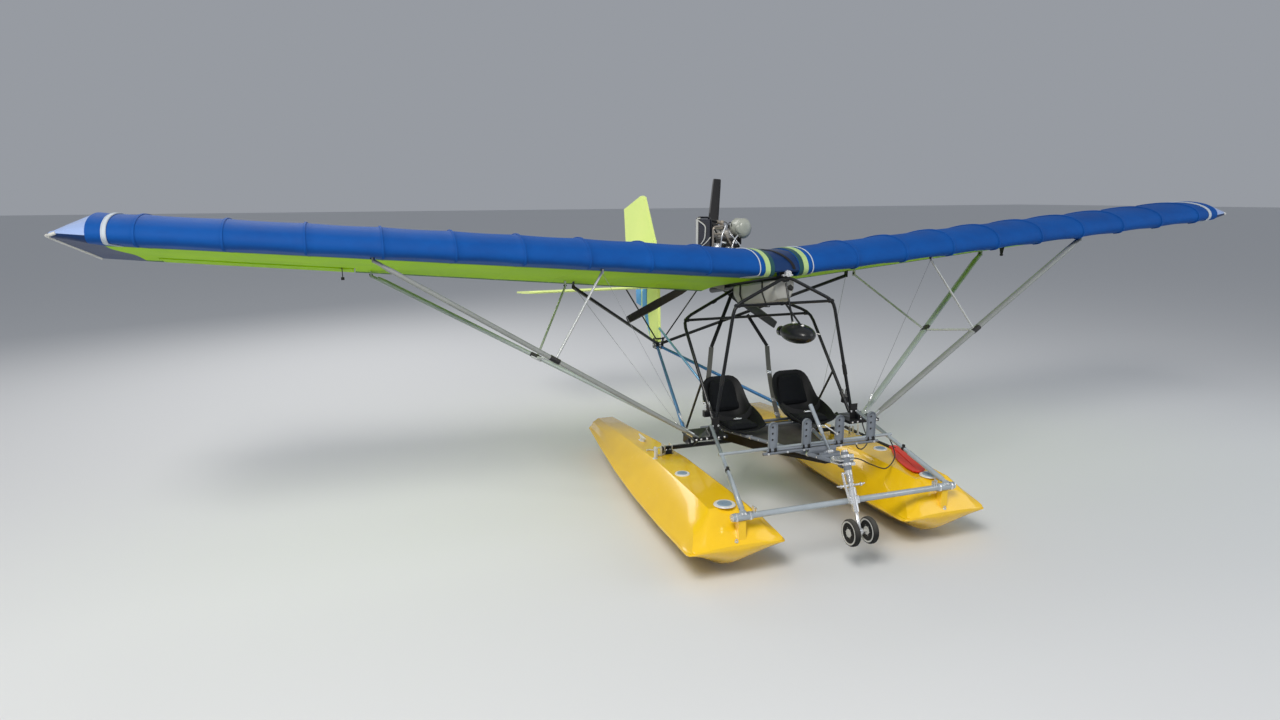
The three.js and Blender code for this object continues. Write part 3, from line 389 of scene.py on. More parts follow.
def sailcloth(name, colour, deep, sheen=0.25, rough=0.5, slack=0.9):
    made, tree, shader = plain_finish(name, rough)
    cloth = placed(tree, weave_and_shade, Threads=420.0, Slack=slack)
    worn = placed(tree, scuffs, Scale=3.0, Amount=0.45)
    # The deep colour goes where the cloth relief sinks and the main colour where it stands up: painted shade in the
    # hollows.
    base = mixed(tree, cloth.outputs["Shade"], deep, colour)
    faded = tuple(min(1, c * 1.25 + 0.03) for c in colour)
    base = mixed(tree, math_node(tree, "MULTIPLY", worn.outputs["Mask"], 0.2), base, faded)
    tree.links.new(base, shader.inputs["Base Color"])
    tree.links.new(ramped(tree, cloth.outputs["Shade"], rough - 0.08, rough + 0.12), shader.inputs["Roughness"])
    bumped(tree, shader, cloth.outputs["Height"], 0.35, 0.006)
    shader.inputs["Sheen Weight"].default_value = sheen
    shader.inputs["Sheen Roughness"].default_value = 0.4
    shader.inputs["Specular IOR Level"].default_value = 0.2
    return made


blue_cloth = sailcloth("blue_sailcloth", (0.001, 0.098, 0.41), (0.0005, 0.040, 0.20), 0.0, 0.68)
lime_cloth = sailcloth("lime_sailcloth", (0.44, 0.74, 0.002), (0.20, 0.46, 0.001), 0.0, 0.62)
# Dark green: a real hem at the trailing edge, and painted shade along the front of the lime where it tucks under the
# blue nose.
green_hem_and_shade = sailcloth("green_hem_and_painted_shade", (0.050, 0.16, 0.010), (0.03, 0.11, 0.008), 0.1, 0.6)
ROOT_Z, RISE, WASHOUT = 2.070, 0.081, 0.060
HALF_SPAN, CHORD, ROOT_RIB, TIP_THINNER = 4.750, 1.398, 0.110, 0.25
RIBS = [0.66 + 0.48 * k for k in range(9)]
AILERON_IN, AILERON_OUT, AILERON_FRONT = 3.250, 4.640, 1.150
TOP = [
    (1.398, -0.322), (1.150, -0.140), (0.850, 0.0), (0.550, 0.098), (0.300, 0.140),
    (0.120, 0.132), (0.006, 0.092), (-0.044, 0.044), (-0.060, -0.008),
]
NOSE_UNDER = [(-0.042, -0.044), (0.0, -0.062), (0.100, -0.076), (0.300, -0.104)]
SPLIT = [(0.320, -0.030), (0.850, -0.095), (1.150, -0.196), (1.398, -0.327)]
UNDER = [(0.300, -0.104), (0.500, -0.150), (0.800, -0.203), (1.100, -0.258), (1.398, -0.333)]
SIDES = (("starboard", -1), ("port", 1))


def wing_at(s, x, y, z):
    thin = 1 - TIP_THINNER * (x / HALF_SPAN) ** 2 if z > 0 else 1
    return at(s * x, y, ROOT_Z + x * RISE + z * thin + WASHOUT * x * y / (HALF_SPAN * CHORD))


def cut_back(points, back):
    kept = []
    for a, b in zip(points, points[1:]):
        for p, q in ((a, b), (b, a)):
            if p[0] > back >= q[0]:
                kept.append(Vector(q).lerp(Vector(p), (back - q[0]) / (p[0] - q[0])))
        if b[0] <= back:
            kept.append(Vector(b))
    if points[0][0] <= back:
        kept.insert(0, Vector(points[0]))
    return kept


def slack_at(x):
    marks = [ROOT_RIB] + RIBS + [HALF_SPAN]
    for a, b in zip(marks, marks[1:]):
        if a <= x <= b:
            t = (x - a) / (b - a)
            return 4 * t * (1 - t)
    return 0.0


def skin_stations(x0, x1):
    found = {x0, x1}
    marks = [ROOT_RIB] + RIBS + [HALF_SPAN]
    for a, b in zip(marks, marks[1:]):
        found.update((a + 0.016, a + 0.006, a - 0.006, a - 0.016))
        found.update(a + (b - a) * k / 8 for k in range(1, 8))
    return sorted(x for x in found if x0 <= x <= x1)


def skin(mesh, s, x0, x1, outer, inner, sink, ridge):
    count = len(outer)
    normals = []
    for i in range(count):
        way = (outer[min(i + 1, count - 1)] - outer[max(i - 1, 0)]).normalized()
        normals.append(Vector((way.y, -way.x)))
    sections = []
    for x in skin_stations(x0, x1):
        on_rib = min(abs(x - r) for r in RIBS) < 0.0065
        move = ridge if on_rib else -sink * slack_at(x)
        spots = []
        for i, p in enumerate(outer):
            hold = min(1, i / 3, (count - 1 - i) / 2)
            q = p + normals[i] * move * hold
            spots.append(wing_at(s, x, q.x, q.y))
        sections.append(spots + [wing_at(s, x, q.x, q.y) for q in inner])
    lofted(mesh, sections)


outer_line = [p.to_2d() for p in eased([(y, z, 0) for y, z in TOP + NOSE_UNDER], 4)]
under_line = [p.to_2d() for p in eased([(y, z, 0) for y, z in UNDER], 4)]
WELL_EDGES = (
    (ROOT_RIB, AILERON_IN, CHORD),
    (AILERON_IN, AILERON_OUT, AILERON_FRONT),
    (AILERON_OUT, HALF_SPAN, CHORD),
)
for side, s in SIDES:
    upper = bmesh.new()
    lower = bmesh.new()
    for x0, x1, back in WELL_EDGES:
        skin(upper, s, x0, x1, cut_back(outer_line, back), cut_back(SPLIT, back), 0.006, 0.004)
        skin(lower, s, x0, x1, cut_back(under_line, back), cut_back(SPLIT[::-1], back), 0.004, 0.003)
    # Faces ahead of y 0.330 get the dark green as painted shade under the nose; faces behind y 1.345 get it as the real
    # trailing-edge hem.
    for face in lower.faces:
        y = face.calc_center_median().y + MIDDLE_Y
        face.material_index = 1 if y > 1.345 or y < 0.330 else 0
    upper_name, lower_name = "wing_upper_cover_" + side, "wing_lower_cover_" + side
    add("wing_skin_upper_" + side, upper, blue_cloth, stands_for=[upper_name], smooth=50)
    cloths = [lime_cloth, green_hem_and_shade]
    add("wing_skin_lower_" + side, lower, cloths, stands_for=[lower_name], smooth=50)

# Tip bow: cloth drawn from the last rib to a bent edge tube, pale above and navy below.
# A cream edge binding runs along the bow from the nose to the trailing edge.
def dressed(node, name, finishes, body="airframe", pick=None, bevel=0.0, smooth=38):
    mesh = bmesh.new()
    mesh.from_mesh(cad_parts[node].data)
    bmesh.ops.remove_doubles(mesh, verts=mesh.verts, dist=0.00002)
    bmesh.ops.dissolve_limit(mesh, angle_limit=0.01, verts=mesh.verts, edges=mesh.edges)
    for face in mesh.faces:
        face.material_index = pick(face) if pick else 0
    return add(name, mesh, finishes, body, [node], smooth, bevel)


navy_cloth = sailcloth("navy_sailcloth", (0.006, 0.036, 0.130), (0.004, 0.020, 0.080), 0.1, 0.5)
pale_cloth = sailcloth("pale_sailcloth", (0.36, 0.47, 0.72), (0.24, 0.34, 0.62), 0.2, 0.4)
cream_tape = sailcloth("cream_edge_tape", (0.70, 0.70, 0.66), (0.56, 0.56, 0.52), 0.2, 0.55)
TIP_X = 5.060


def bow_at(s, y, out=0.0):
    line = -0.008 - 0.2208 * (y + 0.060)
    nose = (0.060 - y) * 0.55 if y < 0.060 else 0
    x = TIP_X - 0.075 + 0.075 * max(0, y) / CHORD - nose
    return wing_at(s, x + out, y * (0.2 if y < 0 else 1), line)


for side, s in SIDES:
    upper_side = lambda face: 1 if face.normal.z > 0.2 else 0
    tip_cloths = [navy_cloth, pale_cloth]
    dressed("wing_tip_" + side, "wing_tip_cloth_" + side, tip_cloths, pick=upper_side, smooth=30)
    binding = bmesh.new()
    nose_part = [bow_at(s, -0.060 + k * 0.02, -0.012) for k in range(7)]
    tube(binding, nose_part + [bow_at(s, 0.08 + 0.131 * k, -0.010) for k in range(1, 11)], 0.010, 12)
    add("tip_bow_binding_" + side, binding, cream_tape)

# Bands sewn round the wing: a narrow white one before each tip, and a pale strap and white piping at each root.
# They are strips of the same cloth laid over the blue skin and stitched along both edges.
white_cloth = sailcloth("white_sailcloth", (0.54, 0.59, 0.64), (0.40, 0.46, 0.52), 0.05, 0.6)
pale_lime_cloth = sailcloth("pale_lime_webbing", (0.46, 0.62, 0.26), (0.32, 0.46, 0.18), 0.1, 0.6)
# Dark teal: painted shade, laid as a strip just inboard of each root strap.
teal_shade_cloth = sailcloth("teal_painted_shade", (0.020, 0.085, 0.090), (0.012, 0.050, 0.060), 0.1, 0.6)


def band(mesh, s, x0, x1, back, proud, thick, line):
    run = cut_back(line, back)
    sections = []
    for i in range(len(run)):
        way = (run[min(i + 1, len(run) - 1)] - run[max(i - 1, 0)]).normalized()
        out = Vector((way.y, -way.x))
        low, high = run[i] + out * (proud - thick), run[i] + out * proud
        corners = ((x0, low), (x1, low), (x1, high), (x0, high))
        sections.append([wing_at(s, x, q.x, q.y) for x, q in corners])
    lofted(mesh, sections)


for side, s in SIDES:
    for name, x0, x1, back, proud, cloth in (
        ("tip_band_", 4.640, 4.668, 1.30, 0.002, white_cloth),
        ("root_strap_", 0.150, 0.192, 1.20, 0.004, pale_lime_cloth),
        # The teal strip inboard of the root strap is painted shade.
        ("root_shade_band_", 0.112, 0.148, 1.20, 0.003, teal_shade_cloth),
    ):
        strip_mesh = bmesh.new()
        band(strip_mesh, s, x0, x1, back, proud, 0.006, outer_line)
        add(name + side, strip_mesh, cloth)
    rib_folds = bmesh.new()
    for x in RIBS:
        band(rib_folds, s, x - 0.0085, x + 0.0085, 0.62, 0.0095, 0.008, outer_line[:-6])
    add("rib_folds_" + side, rib_folds, blue_cloth, bevel=0.003)
    piping = bmesh.new()
    tube(piping, [wing_at(s, 0.238, q.x, q.y) for q in cut_back(outer_line, 1.2)], 0.0045, 8)
    add("root_piping_" + side, piping, white_cloth)
    stitches = bmesh.new()
    for x in (0.155, 0.187, 4.644, 4.664):
        tube(stitches, [wing_at(s, x, q.x, q.y) for q in cut_back(outer_line, 0.9)], 0.0042, 5, flat=1.0)
    add("band_seams_" + side, stitches, white_cloth)

# Centre cover: a dark strip over the gap between the two wing roots, laced to both.
# A black webbing strap crosses it, and a bright bolt and shackle stand at its nose.
def alloy(name, colour, rough=0.32, dusty=0.12):
    made, tree, shader = plain_finish(name, rough, 0.75)
    skin = placed(tree, grain, Scale=260.0)
    worn = placed(tree, scuffs, Scale=18.0, Amount=0.6)
    settled = placed(tree, dust, Amount=dusty)
    dark, light = tuple(c * 0.72 for c in colour), tuple(min(1, c * 1.15) for c in colour)
    base = mixed(tree, skin.outputs["Shade"], dark, light)
    base = mixed(tree, math_node(tree, "MULTIPLY", worn.outputs["Mask"], 0.45), base, tuple(c * 0.5 for c in colour))
    base = mixed(tree, settled.outputs["Mask"], base, (0.3, 0.29, 0.26))
    tree.links.new(base, shader.inputs["Base Color"])
    tree.links.new(ramped(tree, worn.outputs["Height"], rough - 0.1, rough + 0.22), shader.inputs["Roughness"])
    bumped(tree, shader, skin.outputs["Height"], 0.1, 0.0005)
    return made


def turn_to(direction):
    return Vector(direction).to_track_quat("Z", "Y").to_matrix().to_4x4()


def disc(mesh, centre, direction, radius, thick, sides=24, top=None):
    spot = Matrix.Translation(centre) @ turn_to(direction)
    far = radius if top is None else top
    bmesh.ops.create_cone(mesh, cap_ends=True, segments=sides, radius1=radius, radius2=far, depth=thick, matrix=spot)


def bolt(mesh, centre, direction, size=0.006):
    way = Vector(direction).normalized()
    disc(mesh, centre, way, size * 1.7, size * 0.4, 16)
    disc(mesh, Vector(centre) + way * size * 0.6, way, size, size, 6, size * 0.92)


def block(mesh, low, high):
    size = Vector(high) - Vector(low)
    spot = Matrix.Translation((Vector(low) + Vector(high)) / 2) @ Matrix.Diagonal((*size, 1))
    return bmesh.ops.create_cube(mesh, size=1, matrix=spot)["verts"]


def strip(mesh, a, b, wide, thick, across=(0, 0, 1)):
    a, b = Vector(a), Vector(b)
    way = (b - a).normalized()
    side = Vector(across).cross(way).normalized()
    turn = Matrix((side, way.cross(side), way)).transposed().to_4x4()
    spot = Matrix.Translation((a + b) / 2) @ turn @ Matrix.Diagonal((wide, thick, (b - a).length, 1))
    bmesh.ops.create_cube(mesh, size=1, matrix=spot)


webbing = sailcloth("black_webbing", (0.016, 0.017, 0.018), (0.010, 0.010, 0.011), 0.1, 0.7)
bright_alloy = alloy("bright_alloy", (0.82, 0.83, 0.84), 0.22, 0.05)
dressed("centre_cover", "centre_cover_cloth", navy_cloth, bevel=0.003)
cover_strap = bmesh.new()
across_cover = [(-0.060, 0.30, 0.140), (-0.030, 0.12, 0.133), (0.010, 0.006, 0.094), (0.045, -0.044, 0.046), (0.062, -0.058, 0.0)]
lifted = [at(x, y - 0.004, ROOT_Z + z + 0.006) for x, y, z in (p for p in eased(across_cover, 4))]
lofted(cover_strap, [[p + Vector((dx, dy, dz)) for dx, dy, dz in ((-0.013, 0, 0), (0.013, 0, 0), (0.013, 0, 0.003), (-0.013, 0, 0.003))] for p in lifted])
add("centre_cover_strap", cover_strap, webbing)
shackle = bmesh.new()
disc(shackle, at(0, -0.072, 2.046), (0, 1, 0.2), 0.026, 0.028, 20)
disc(shackle, at(0, -0.096, 2.041), (0, 1, 0.2), 0.014, 0.030, 6)
strip(shackle, at(-0.045, -0.064, 2.030), at(0.045, -0.064, 2.030), 0.026, 0.008)
for x in (-0.034, 0.034):
    bolt(shackle, at(x, -0.070, 2.030), (0, -1, 0), 0.006)
add("root_shackle", shackle, bright_alloy, bevel=0.002)

# Ailerons: cloth over a light frame, blue above and lime below, hung on three hinges each.
# A black horn under each one takes the push rod that comes from the wing root.
def panel(mesh, outline, thick, across):
    face = mesh.faces.new([mesh.verts.new(Vector(p) - Vector(across) * thick / 2) for p in outline])
    grown = bmesh.ops.extrude_face_region(mesh, geom=[face])["geom"]
    moved = [g for g in grown if isinstance(g, bmesh.types.BMVert)]
    bmesh.ops.translate(mesh, vec=Vector(across) * thick, verts=moved)


black_fitting = coated("black_fitting", (0.012, 0.012, 0.013), 0.38, 0.2)
for side, s in SIDES:
    body = "aileron_" + side
    facing_up = lambda face: 1 if face.normal.z > 0 else 0
    dressed(body, body + "_cloth", [lime_cloth, blue_cloth], body, facing_up, 0.002, 30)
    horn = bmesh.new()
    corners = ((1.190, -0.270), (1.260, -0.292), (1.235, -0.380), (1.215, -0.380))
    panel(horn, [wing_at(s, 3.350, y, z) for y, z in corners], 0.006, (1, 0, 0))
    disc(horn, wing_at(s, 3.350, 1.225, -0.368), (1, 0, 0), 0.012, 0.026, 16)
    add(body + "_horn", horn, black_fitting, body)
    lugs = bmesh.new()
    for x in (3.450, 3.945, 4.440):
        pin = wing_at(s, x, 1.172, -0.213)
        disc(lugs, pin, (1, 0, 0), 0.009, 0.008, 16)
        block(lugs, pin + Vector((-0.004, -0.030, -0.007)), pin + Vector((0.004, 0, 0.007)))
    add("aileron_lugs_" + side, lugs, black_fitting)


# Cage tubes: powder-coated steel, bent hot and welded, with alloy saddles at the bolted joints.
# The front frame hangs from the nose of the root tube, and the hoop stands behind the seats.
black_paint = coated("black_tube_paint", (0.005, 0.006, 0.008), 0.32, 0.06, (0.12, 0.12, 0.12), coat=0.15)
for node in ("front_frame", "rear_hoop", "rear_float_frame", "root_tube", "tail_fitting"):
    dressed(node, node + "_tubes", black_paint, smooth=50)
saddles = bmesh.new()
for side, s in SIDES:
    for x, y, z, way in ((0.424, -0.042, 1.802, (1, 0, 0)), (0.588, 0.604, 1.604, (1, 0, 0)), (0.30, 0.677, 1.744, (1, -0.25, -0.4))):
        disc(saddles, at(s * x, y, z), (s * way[0], way[1], way[2]), 0.0168, 0.040, 18)
        bolt(saddles, at(s * x, y - 0.017, z), (0, -1, 0), 0.006)
for x in (-0.030, 0.030):
    disc(saddles, at(x, -0.042, 1.802), (1, 0, 0), 0.016, 0.020, 18)
    bolt(saddles, at(x, -0.059, 1.802), (0, -1, 0), 0.005)
add("cage_saddles", saddles, black_paint, bevel=0.001)
sockets = bmesh.new()
anchors = bmesh.new()
for side, s in SIDES:
    foot, corner = Vector((s * 0.648, -0.106, 0.782)), Vector((s * 0.450, -0.042, 1.802))
    disc(sockets, at(*foot.lerp(corner, 0.045)), corner - foot, 0.0185, 0.060, 18)
    disc(sockets, at(*foot.lerp(corner, 0.43)), corner - foot, 0.0175, 0.085, 18)
    block(sockets, at(s * 0.640 - 0.034, -0.128, 0.800), at(s * 0.640 + 0.034, -0.122, 0.930))
    low_leg, high_leg = Vector((s * 0.625, -0.084, 0.848)), Vector((s * 0.624, 0.600, 1.612))
    disc(sockets, at(*low_leg.lerp(high_leg, 0.16)), high_leg - low_leg, 0.018, 0.060, 18)
    block(sockets, at(s * 0.650 - 0.030, 0.000, 0.905), at(s * 0.650 + 0.030, 0.040, 0.955))
    for x in (0.628, 0.662):
        corners = ((0.010, 0.945), (0.050, 0.960), (0.045, 1.015), (0.028, 1.025), (0.012, 1.010))
        panel(anchors, [at(s * x, y, z) for y, z in corners], 0.003, (1, 0, 0))
        disc(anchors, at(s * x, 0.028, 1.002), (1, 0, 0), 0.007, 0.005, 16)
    for x in (0.616, 0.664):
        bolt(anchors, at(s * x, -0.129, 0.865), (0, -1, 0), 0.005)
add("leg_sockets", sockets, black_fitting, bevel=0.001)
add("belt_anchors", anchors, bright_alloy, bevel=0.0004)

# Floats: moulded hulls in yellow gelcoat, with a raised deck, an arched bow lip and a keel strip.
# Two round hatches with grey-blue lids are let into each deck, and a white cleat stands aft.
gelcoat, tree, shader = plain_finish("yellow_gelcoat", 0.22)
skin_grain = placed(tree, grain, Scale=40.0)
worn = placed(tree, scuffs, Scale=4.0, Amount=0.5)
settled = placed(tree, dust, Amount=0.10)
colour = mixed(tree, skin_grain.outputs["Shade"], (0.88, 0.52, 0.002), (0.98, 0.62, 0.003))
colour = mixed(tree, math_node(tree, "MULTIPLY", worn.outputs["Mask"], 0.25), colour, (0.80, 0.50, 0.05))
colour = mixed(tree, settled.outputs["Mask"], colour, (0.62, 0.46, 0.16))
height = tree.nodes.new("ShaderNodeSeparateXYZ")
spot = tree.nodes.new("ShaderNodeTexCoord")
tree.links.new(spot.outputs["Object"], height.inputs[0])
# The hull colour darkens towards its bottom, from z 0.24 down to 0.10, with a ragged edge.
ragged = math_node(tree, "MULTIPLY", worn.outputs["Height"], 0.08)
darker_low = ramped(tree, math_node(tree, "ADD", height.outputs["Z"], ragged), 0.0, 0.5, 0.24, 0.10)
colour = mixed(tree, darker_low, colour, (0.42, 0.26, 0.02))
tree.links.new(colour, shader.inputs["Base Color"])
tree.links.new(ramped(tree, worn.outputs["Height"], 0.14, 0.36), shader.inputs["Roughness"])
bumped(tree, shader, worn.outputs["Height"], 0.08, 0.003)
shader.inputs["Coat Weight"].default_value = 0.5
shader.inputs["Coat Roughness"].default_value = 0.06
white_plastic = coated("white_plastic", (0.72, 0.72, 0.70), 0.35, 0.15, (0.5, 0.5, 0.48))
hatch_grey = coated("hatch_grey", (0.24, 0.33, 0.42), 0.35, 0.15, (0.5, 0.5, 0.5))
black_rubber = coated("black_rubber", (0.016, 0.016, 0.016), 0.7, 0.2, (0.06, 0.06, 0.06))
FLOAT_X = 0.875
# Each hull station is y, chine x and z, rail z, middle x and z, deck x and z, keel z, and the deck's crown.
STATIONS = [
    (-1.068, 0.300, 0.268, 0.276, 0.290, 0.281, 0.200, 0.289, 0.266, 0.004),
    (-1.058, 0.345, 0.260, 0.272, 0.332, 0.281, 0.225, 0.298, 0.240, 0.006),
    (-1.038, 0.367, 0.252, 0.268, 0.348, 0.288, 0.240, 0.322, 0.200, 0.006),
    (-1.005, 0.376, 0.246, 0.266, 0.330, 0.312, 0.230, 0.362, 0.158, 0.006),
    (-0.930, 0.375, 0.242, 0.264, 0.292, 0.356, 0.180, 0.440, 0.100, 0.005),
    (-0.850, 0.372, 0.240, 0.264, 0.268, 0.392, 0.150, 0.495, 0.055, 0.0),
    (-0.620, 0.367, 0.232, 0.254, 0.262, 0.400, 0.145, 0.502, 0.012, 0.0),
    (-0.420, 0.362, 0.225, 0.247, 0.258, 0.398, 0.142, 0.502, 0.0, 0.0),
    (0.250, 0.335, 0.215, 0.237, 0.240, 0.392, 0.135, 0.502, 0.0, 0.0),
    (0.900, 0.290, 0.215, 0.237, 0.210, 0.370, 0.120, 0.460, 0.0, 0.0),
    (0.903, 0.290, 0.218, 0.237, 0.210, 0.370, 0.120, 0.460, 0.070, 0.0),
    (1.500, 0.240, 0.235, 0.252, 0.172, 0.345, 0.100, 0.412, 0.120, 0.0),
    (2.130, 0.180, 0.258, 0.272, 0.134, 0.328, 0.082, 0.362, 0.172, 0.0),
    (2.200, 0.130, 0.268, 0.280, 0.108, 0.310, 0.070, 0.330, 0.215, 0.0),
]


def half_ring(t):
    y, chine, z_chine, rail, mid, z_mid, deck, z_deck, keel, crown = t
    spots = [(0.0, keel), (0.06, keel + (z_chine - keel) * 0.06), (chine * 0.62, keel + (z_chine - keel) * 0.55)]
    spots += [(chine - 0.012, z_chine - 0.001), (chine, z_chine), (chine + 0.0005, z_chine + (rail - z_chine) * 0.5)]
    spots += [(chine - 0.004, rail), (chine - 0.016, rail + (z_mid - rail) * 0.10)]
    spots += [((chine + mid) / 2 - 0.006, rail + (z_mid - rail) * 0.46), (mid, z_mid)]
    spots += [((deck + mid) / 2 - 0.003, (z_mid + z_deck) / 2 - 0.002)]
    spots += [(deck + (mid - deck) * 0.10, z_deck - (z_deck - z_mid) * 0.10), (deck - 0.006, z_deck)]
    spots += [(deck * 0.5, z_deck + crown * 0.8), (0.0, z_deck + crown)]
    return [(x, y, z) for x, z in spots]


for side, s in SIDES:
    hull = bmesh.new()
    sections = []
    for i, t in enumerate(STATIONS):
        half = half_ring(t)
        ring = half + [(-x, y, z) for x, y, z in half[-2:0:-1]]
        sections.append([at(s * FLOAT_X + x, y, z) for x, y, z in ring])
    lofted(hull, sections)
    bmesh.ops.remove_doubles(hull, verts=hull.verts, dist=0.00002)
    block(hull, at(s * FLOAT_X - 0.028 - s * 0.025, -1.046, 0.290), at(s * FLOAT_X + 0.028 - s * 0.025, -0.985, 0.4585))
    add("float_hull_" + side, hull, gelcoat, stands_for=["float_" + side], bevel=0.003, smooth=24)
    hatches = bmesh.new()
    lids = bmesh.new()
    for x, y, r in ((s * 0.884, -0.825, 0.080), (s * 0.925, -0.133, 0.060)):
        disc(hatches, at(x, y, 0.505), (0, 0, 1), r, 0.008, 40, r * 0.93)
        disc(lids, at(x, y, 0.510), (0, 0, 1), r * 0.71, 0.006, 36, r * 0.64)
        for angle in range(0, 360, 60):
            turn = math.radians(angle)
            spot = at(x + 0.82 * r * math.cos(turn), y + 0.82 * r * math.sin(turn), 0.509)
            bolt(hatches, spot, (0, 0, 1), 0.003)
        block(lids, at(x - 0.018, y - 0.005, 0.512), at(x + 0.018, y + 0.005, 0.519))
    add("float_hatches_" + side, hatches, white_plastic, bevel=0.0012)
    add("float_hatch_lids_" + side, lids, hatch_grey, bevel=0.001)
    cleat = bmesh.new()
    for y in (-0.030, 0.030):
        disc(cleat, at(s * 0.885, 0.930 + y, 0.472), (0, 0, 1), 0.013, 0.036, 14, 0.009)
    bar = [at(s * 0.885, 0.930 + y, 0.493 + z) for y, z in ((-0.085, 0.006), (-0.03, 0), (0.03, 0), (0.085, 0.006))]
    tube(cleat, bar, 0.008, 12, [0.006, 0.012, 0.012, 0.006])
    block(cleat, at(s * 0.885 - 0.022, 0.880, 0.449), at(s * 0.885 + 0.022, 0.980, 0.460))
    add("float_cleat_" + side, cleat, white_plastic, bevel=0.0015)
    eye = bmesh.new()
    disc(eye, at(s * FLOAT_X - 0.02, -1.045, 0.314), (0, -0.6, 1), 0.016, 0.006, 20)
    loop = [at(s * FLOAT_X - 0.02 + 0.009 * math.cos(a), -1.050, 0.322 + 0.011 * math.sin(a)) for a in (-0.5, 0.3, 1.1, 1.57, 2.04, 2.84, 3.64)]
    tube(eye, loop, 0.003, 8)
    add("float_bow_eye_" + side, eye, bright_alloy)

# Float frames: a polished front spreader with raked legs up to the cage, and a black rear one.
# Each tube ends in a bolted bracket on the deck, with a plug pressed into its open end.
spreader_alloy = coated("spreader_alloy", (0.34, 0.385, 0.42), 0.26, 0.06, (0.6, 0.6, 0.6), coat=0.5)
dressed("front_float_frame", "front_float_frame_tubes", spreader_alloy, smooth=50)
fixings = bmesh.new()
for side, s in SIDES:
    disc(fixings, at(s * 0.929, -1.040, 0.488), (1, 0, 0), 0.026, 0.010, 24)
    disc(fixings, at(s * 0.936, -1.040, 0.488), (1, 0, 0), 0.012, 0.010, 6)
    for x in (0.795, 0.900):
        disc(fixings, at(s * x, -1.040, 0.488), (1, 0, 0), 0.0305, 0.012, 24)
        bolt(fixings, at(s * x, -1.064, 0.475), (0, -1, 0), 0.006)
    for x, tall in ((0.765, 0.040), (0.745, 0.028)):
        block(fixings, at(s * x - 0.003, -1.052, 0.500), at(s * x + 0.003, -1.022, 0.512 + tall))
    bolt(fixings, at(s * 0.755, -1.038, 0.540), (s, 0, 0), 0.006)
    for x in (0.838, 0.862):
        bolt(fixings, at(s * x, -1.0655, 0.515), (0, -1, 0), 0.005)
    for x in (0.806, 0.874):
        block(fixings, at(s * x - 0.0025, 0.378, 0.497), at(s * x + 0.0025, 0.462, 0.572))
        bolt(fixings, at(s * x + s * 0.003, 0.420, 0.556), (s, 0, 0), 0.006)
    for x, y in ((0.824, 0.392), (0.856, 0.392), (0.824, 0.448), (0.856, 0.448)):
        bolt(fixings, at(s * x, y, 0.532), (0, 0, 1), 0.005)
    disc(fixings, at(s * 0.894, 0.420, 0.540), (1, 0, 0), 0.022, 0.008, 20)
    for z in (0.805, 0.830):
        bolt(fixings, at(s * 0.681, -0.174, z), (0, -1, 0), 0.005)
    for x in (0.59, 0.64, 0.74, 0.79, 0.83):
        bolt(fixings, at(s * x, -0.192, 0.7875), (0, -1, 0), 0.005)
for side, s in SIDES:
    for x in (0.925, 0.962):
        strip(fixings, at(s * x, 0.335, 0.500), at(s * x, 0.335, 0.578), 0.024, 0.004, (1, 0, 0))
    strip(fixings, at(s * 0.925, 0.335, 0.578), at(s * 0.962, 0.335, 0.578), 0.024, 0.004)
add("float_frame_fixings", fixings, bright_alloy, bevel=0.0008)
posts = bmesh.new()
for side, s in SIDES:
    tube(posts, [at(s * 0.992, 0.300, 0.490), at(s * 0.992, 0.300, 0.590)], 0.009, 14)
    disc(posts, at(s * 0.992, 0.300, 0.594), (0, 0, 1), 0.015, 0.014, 18, 0.011)
    disc(posts, at(s * 0.992, 0.300, 0.500), (0, 0, 1), 0.020, 0.008, 18)
add("deck_posts", posts, white_plastic, bevel=0.001)
clamps = bmesh.new()
for side, s in SIDES:
    top, foot = Vector((s * 0.672, -0.110, 0.866)), Vector((s * 0.850, -1.045, 0.525))
    place = top.lerp(foot, 0.56)
    disc(clamps, at(*place), foot - top, 0.0185, 0.020, 18)
    block(clamps, at(*place) + Vector((-0.008, -0.010, 0.014)), at(*place) + Vector((0.008, 0.010, 0.032)))
add("float_frame_clamps", clamps, black_fitting, bevel=0.001)

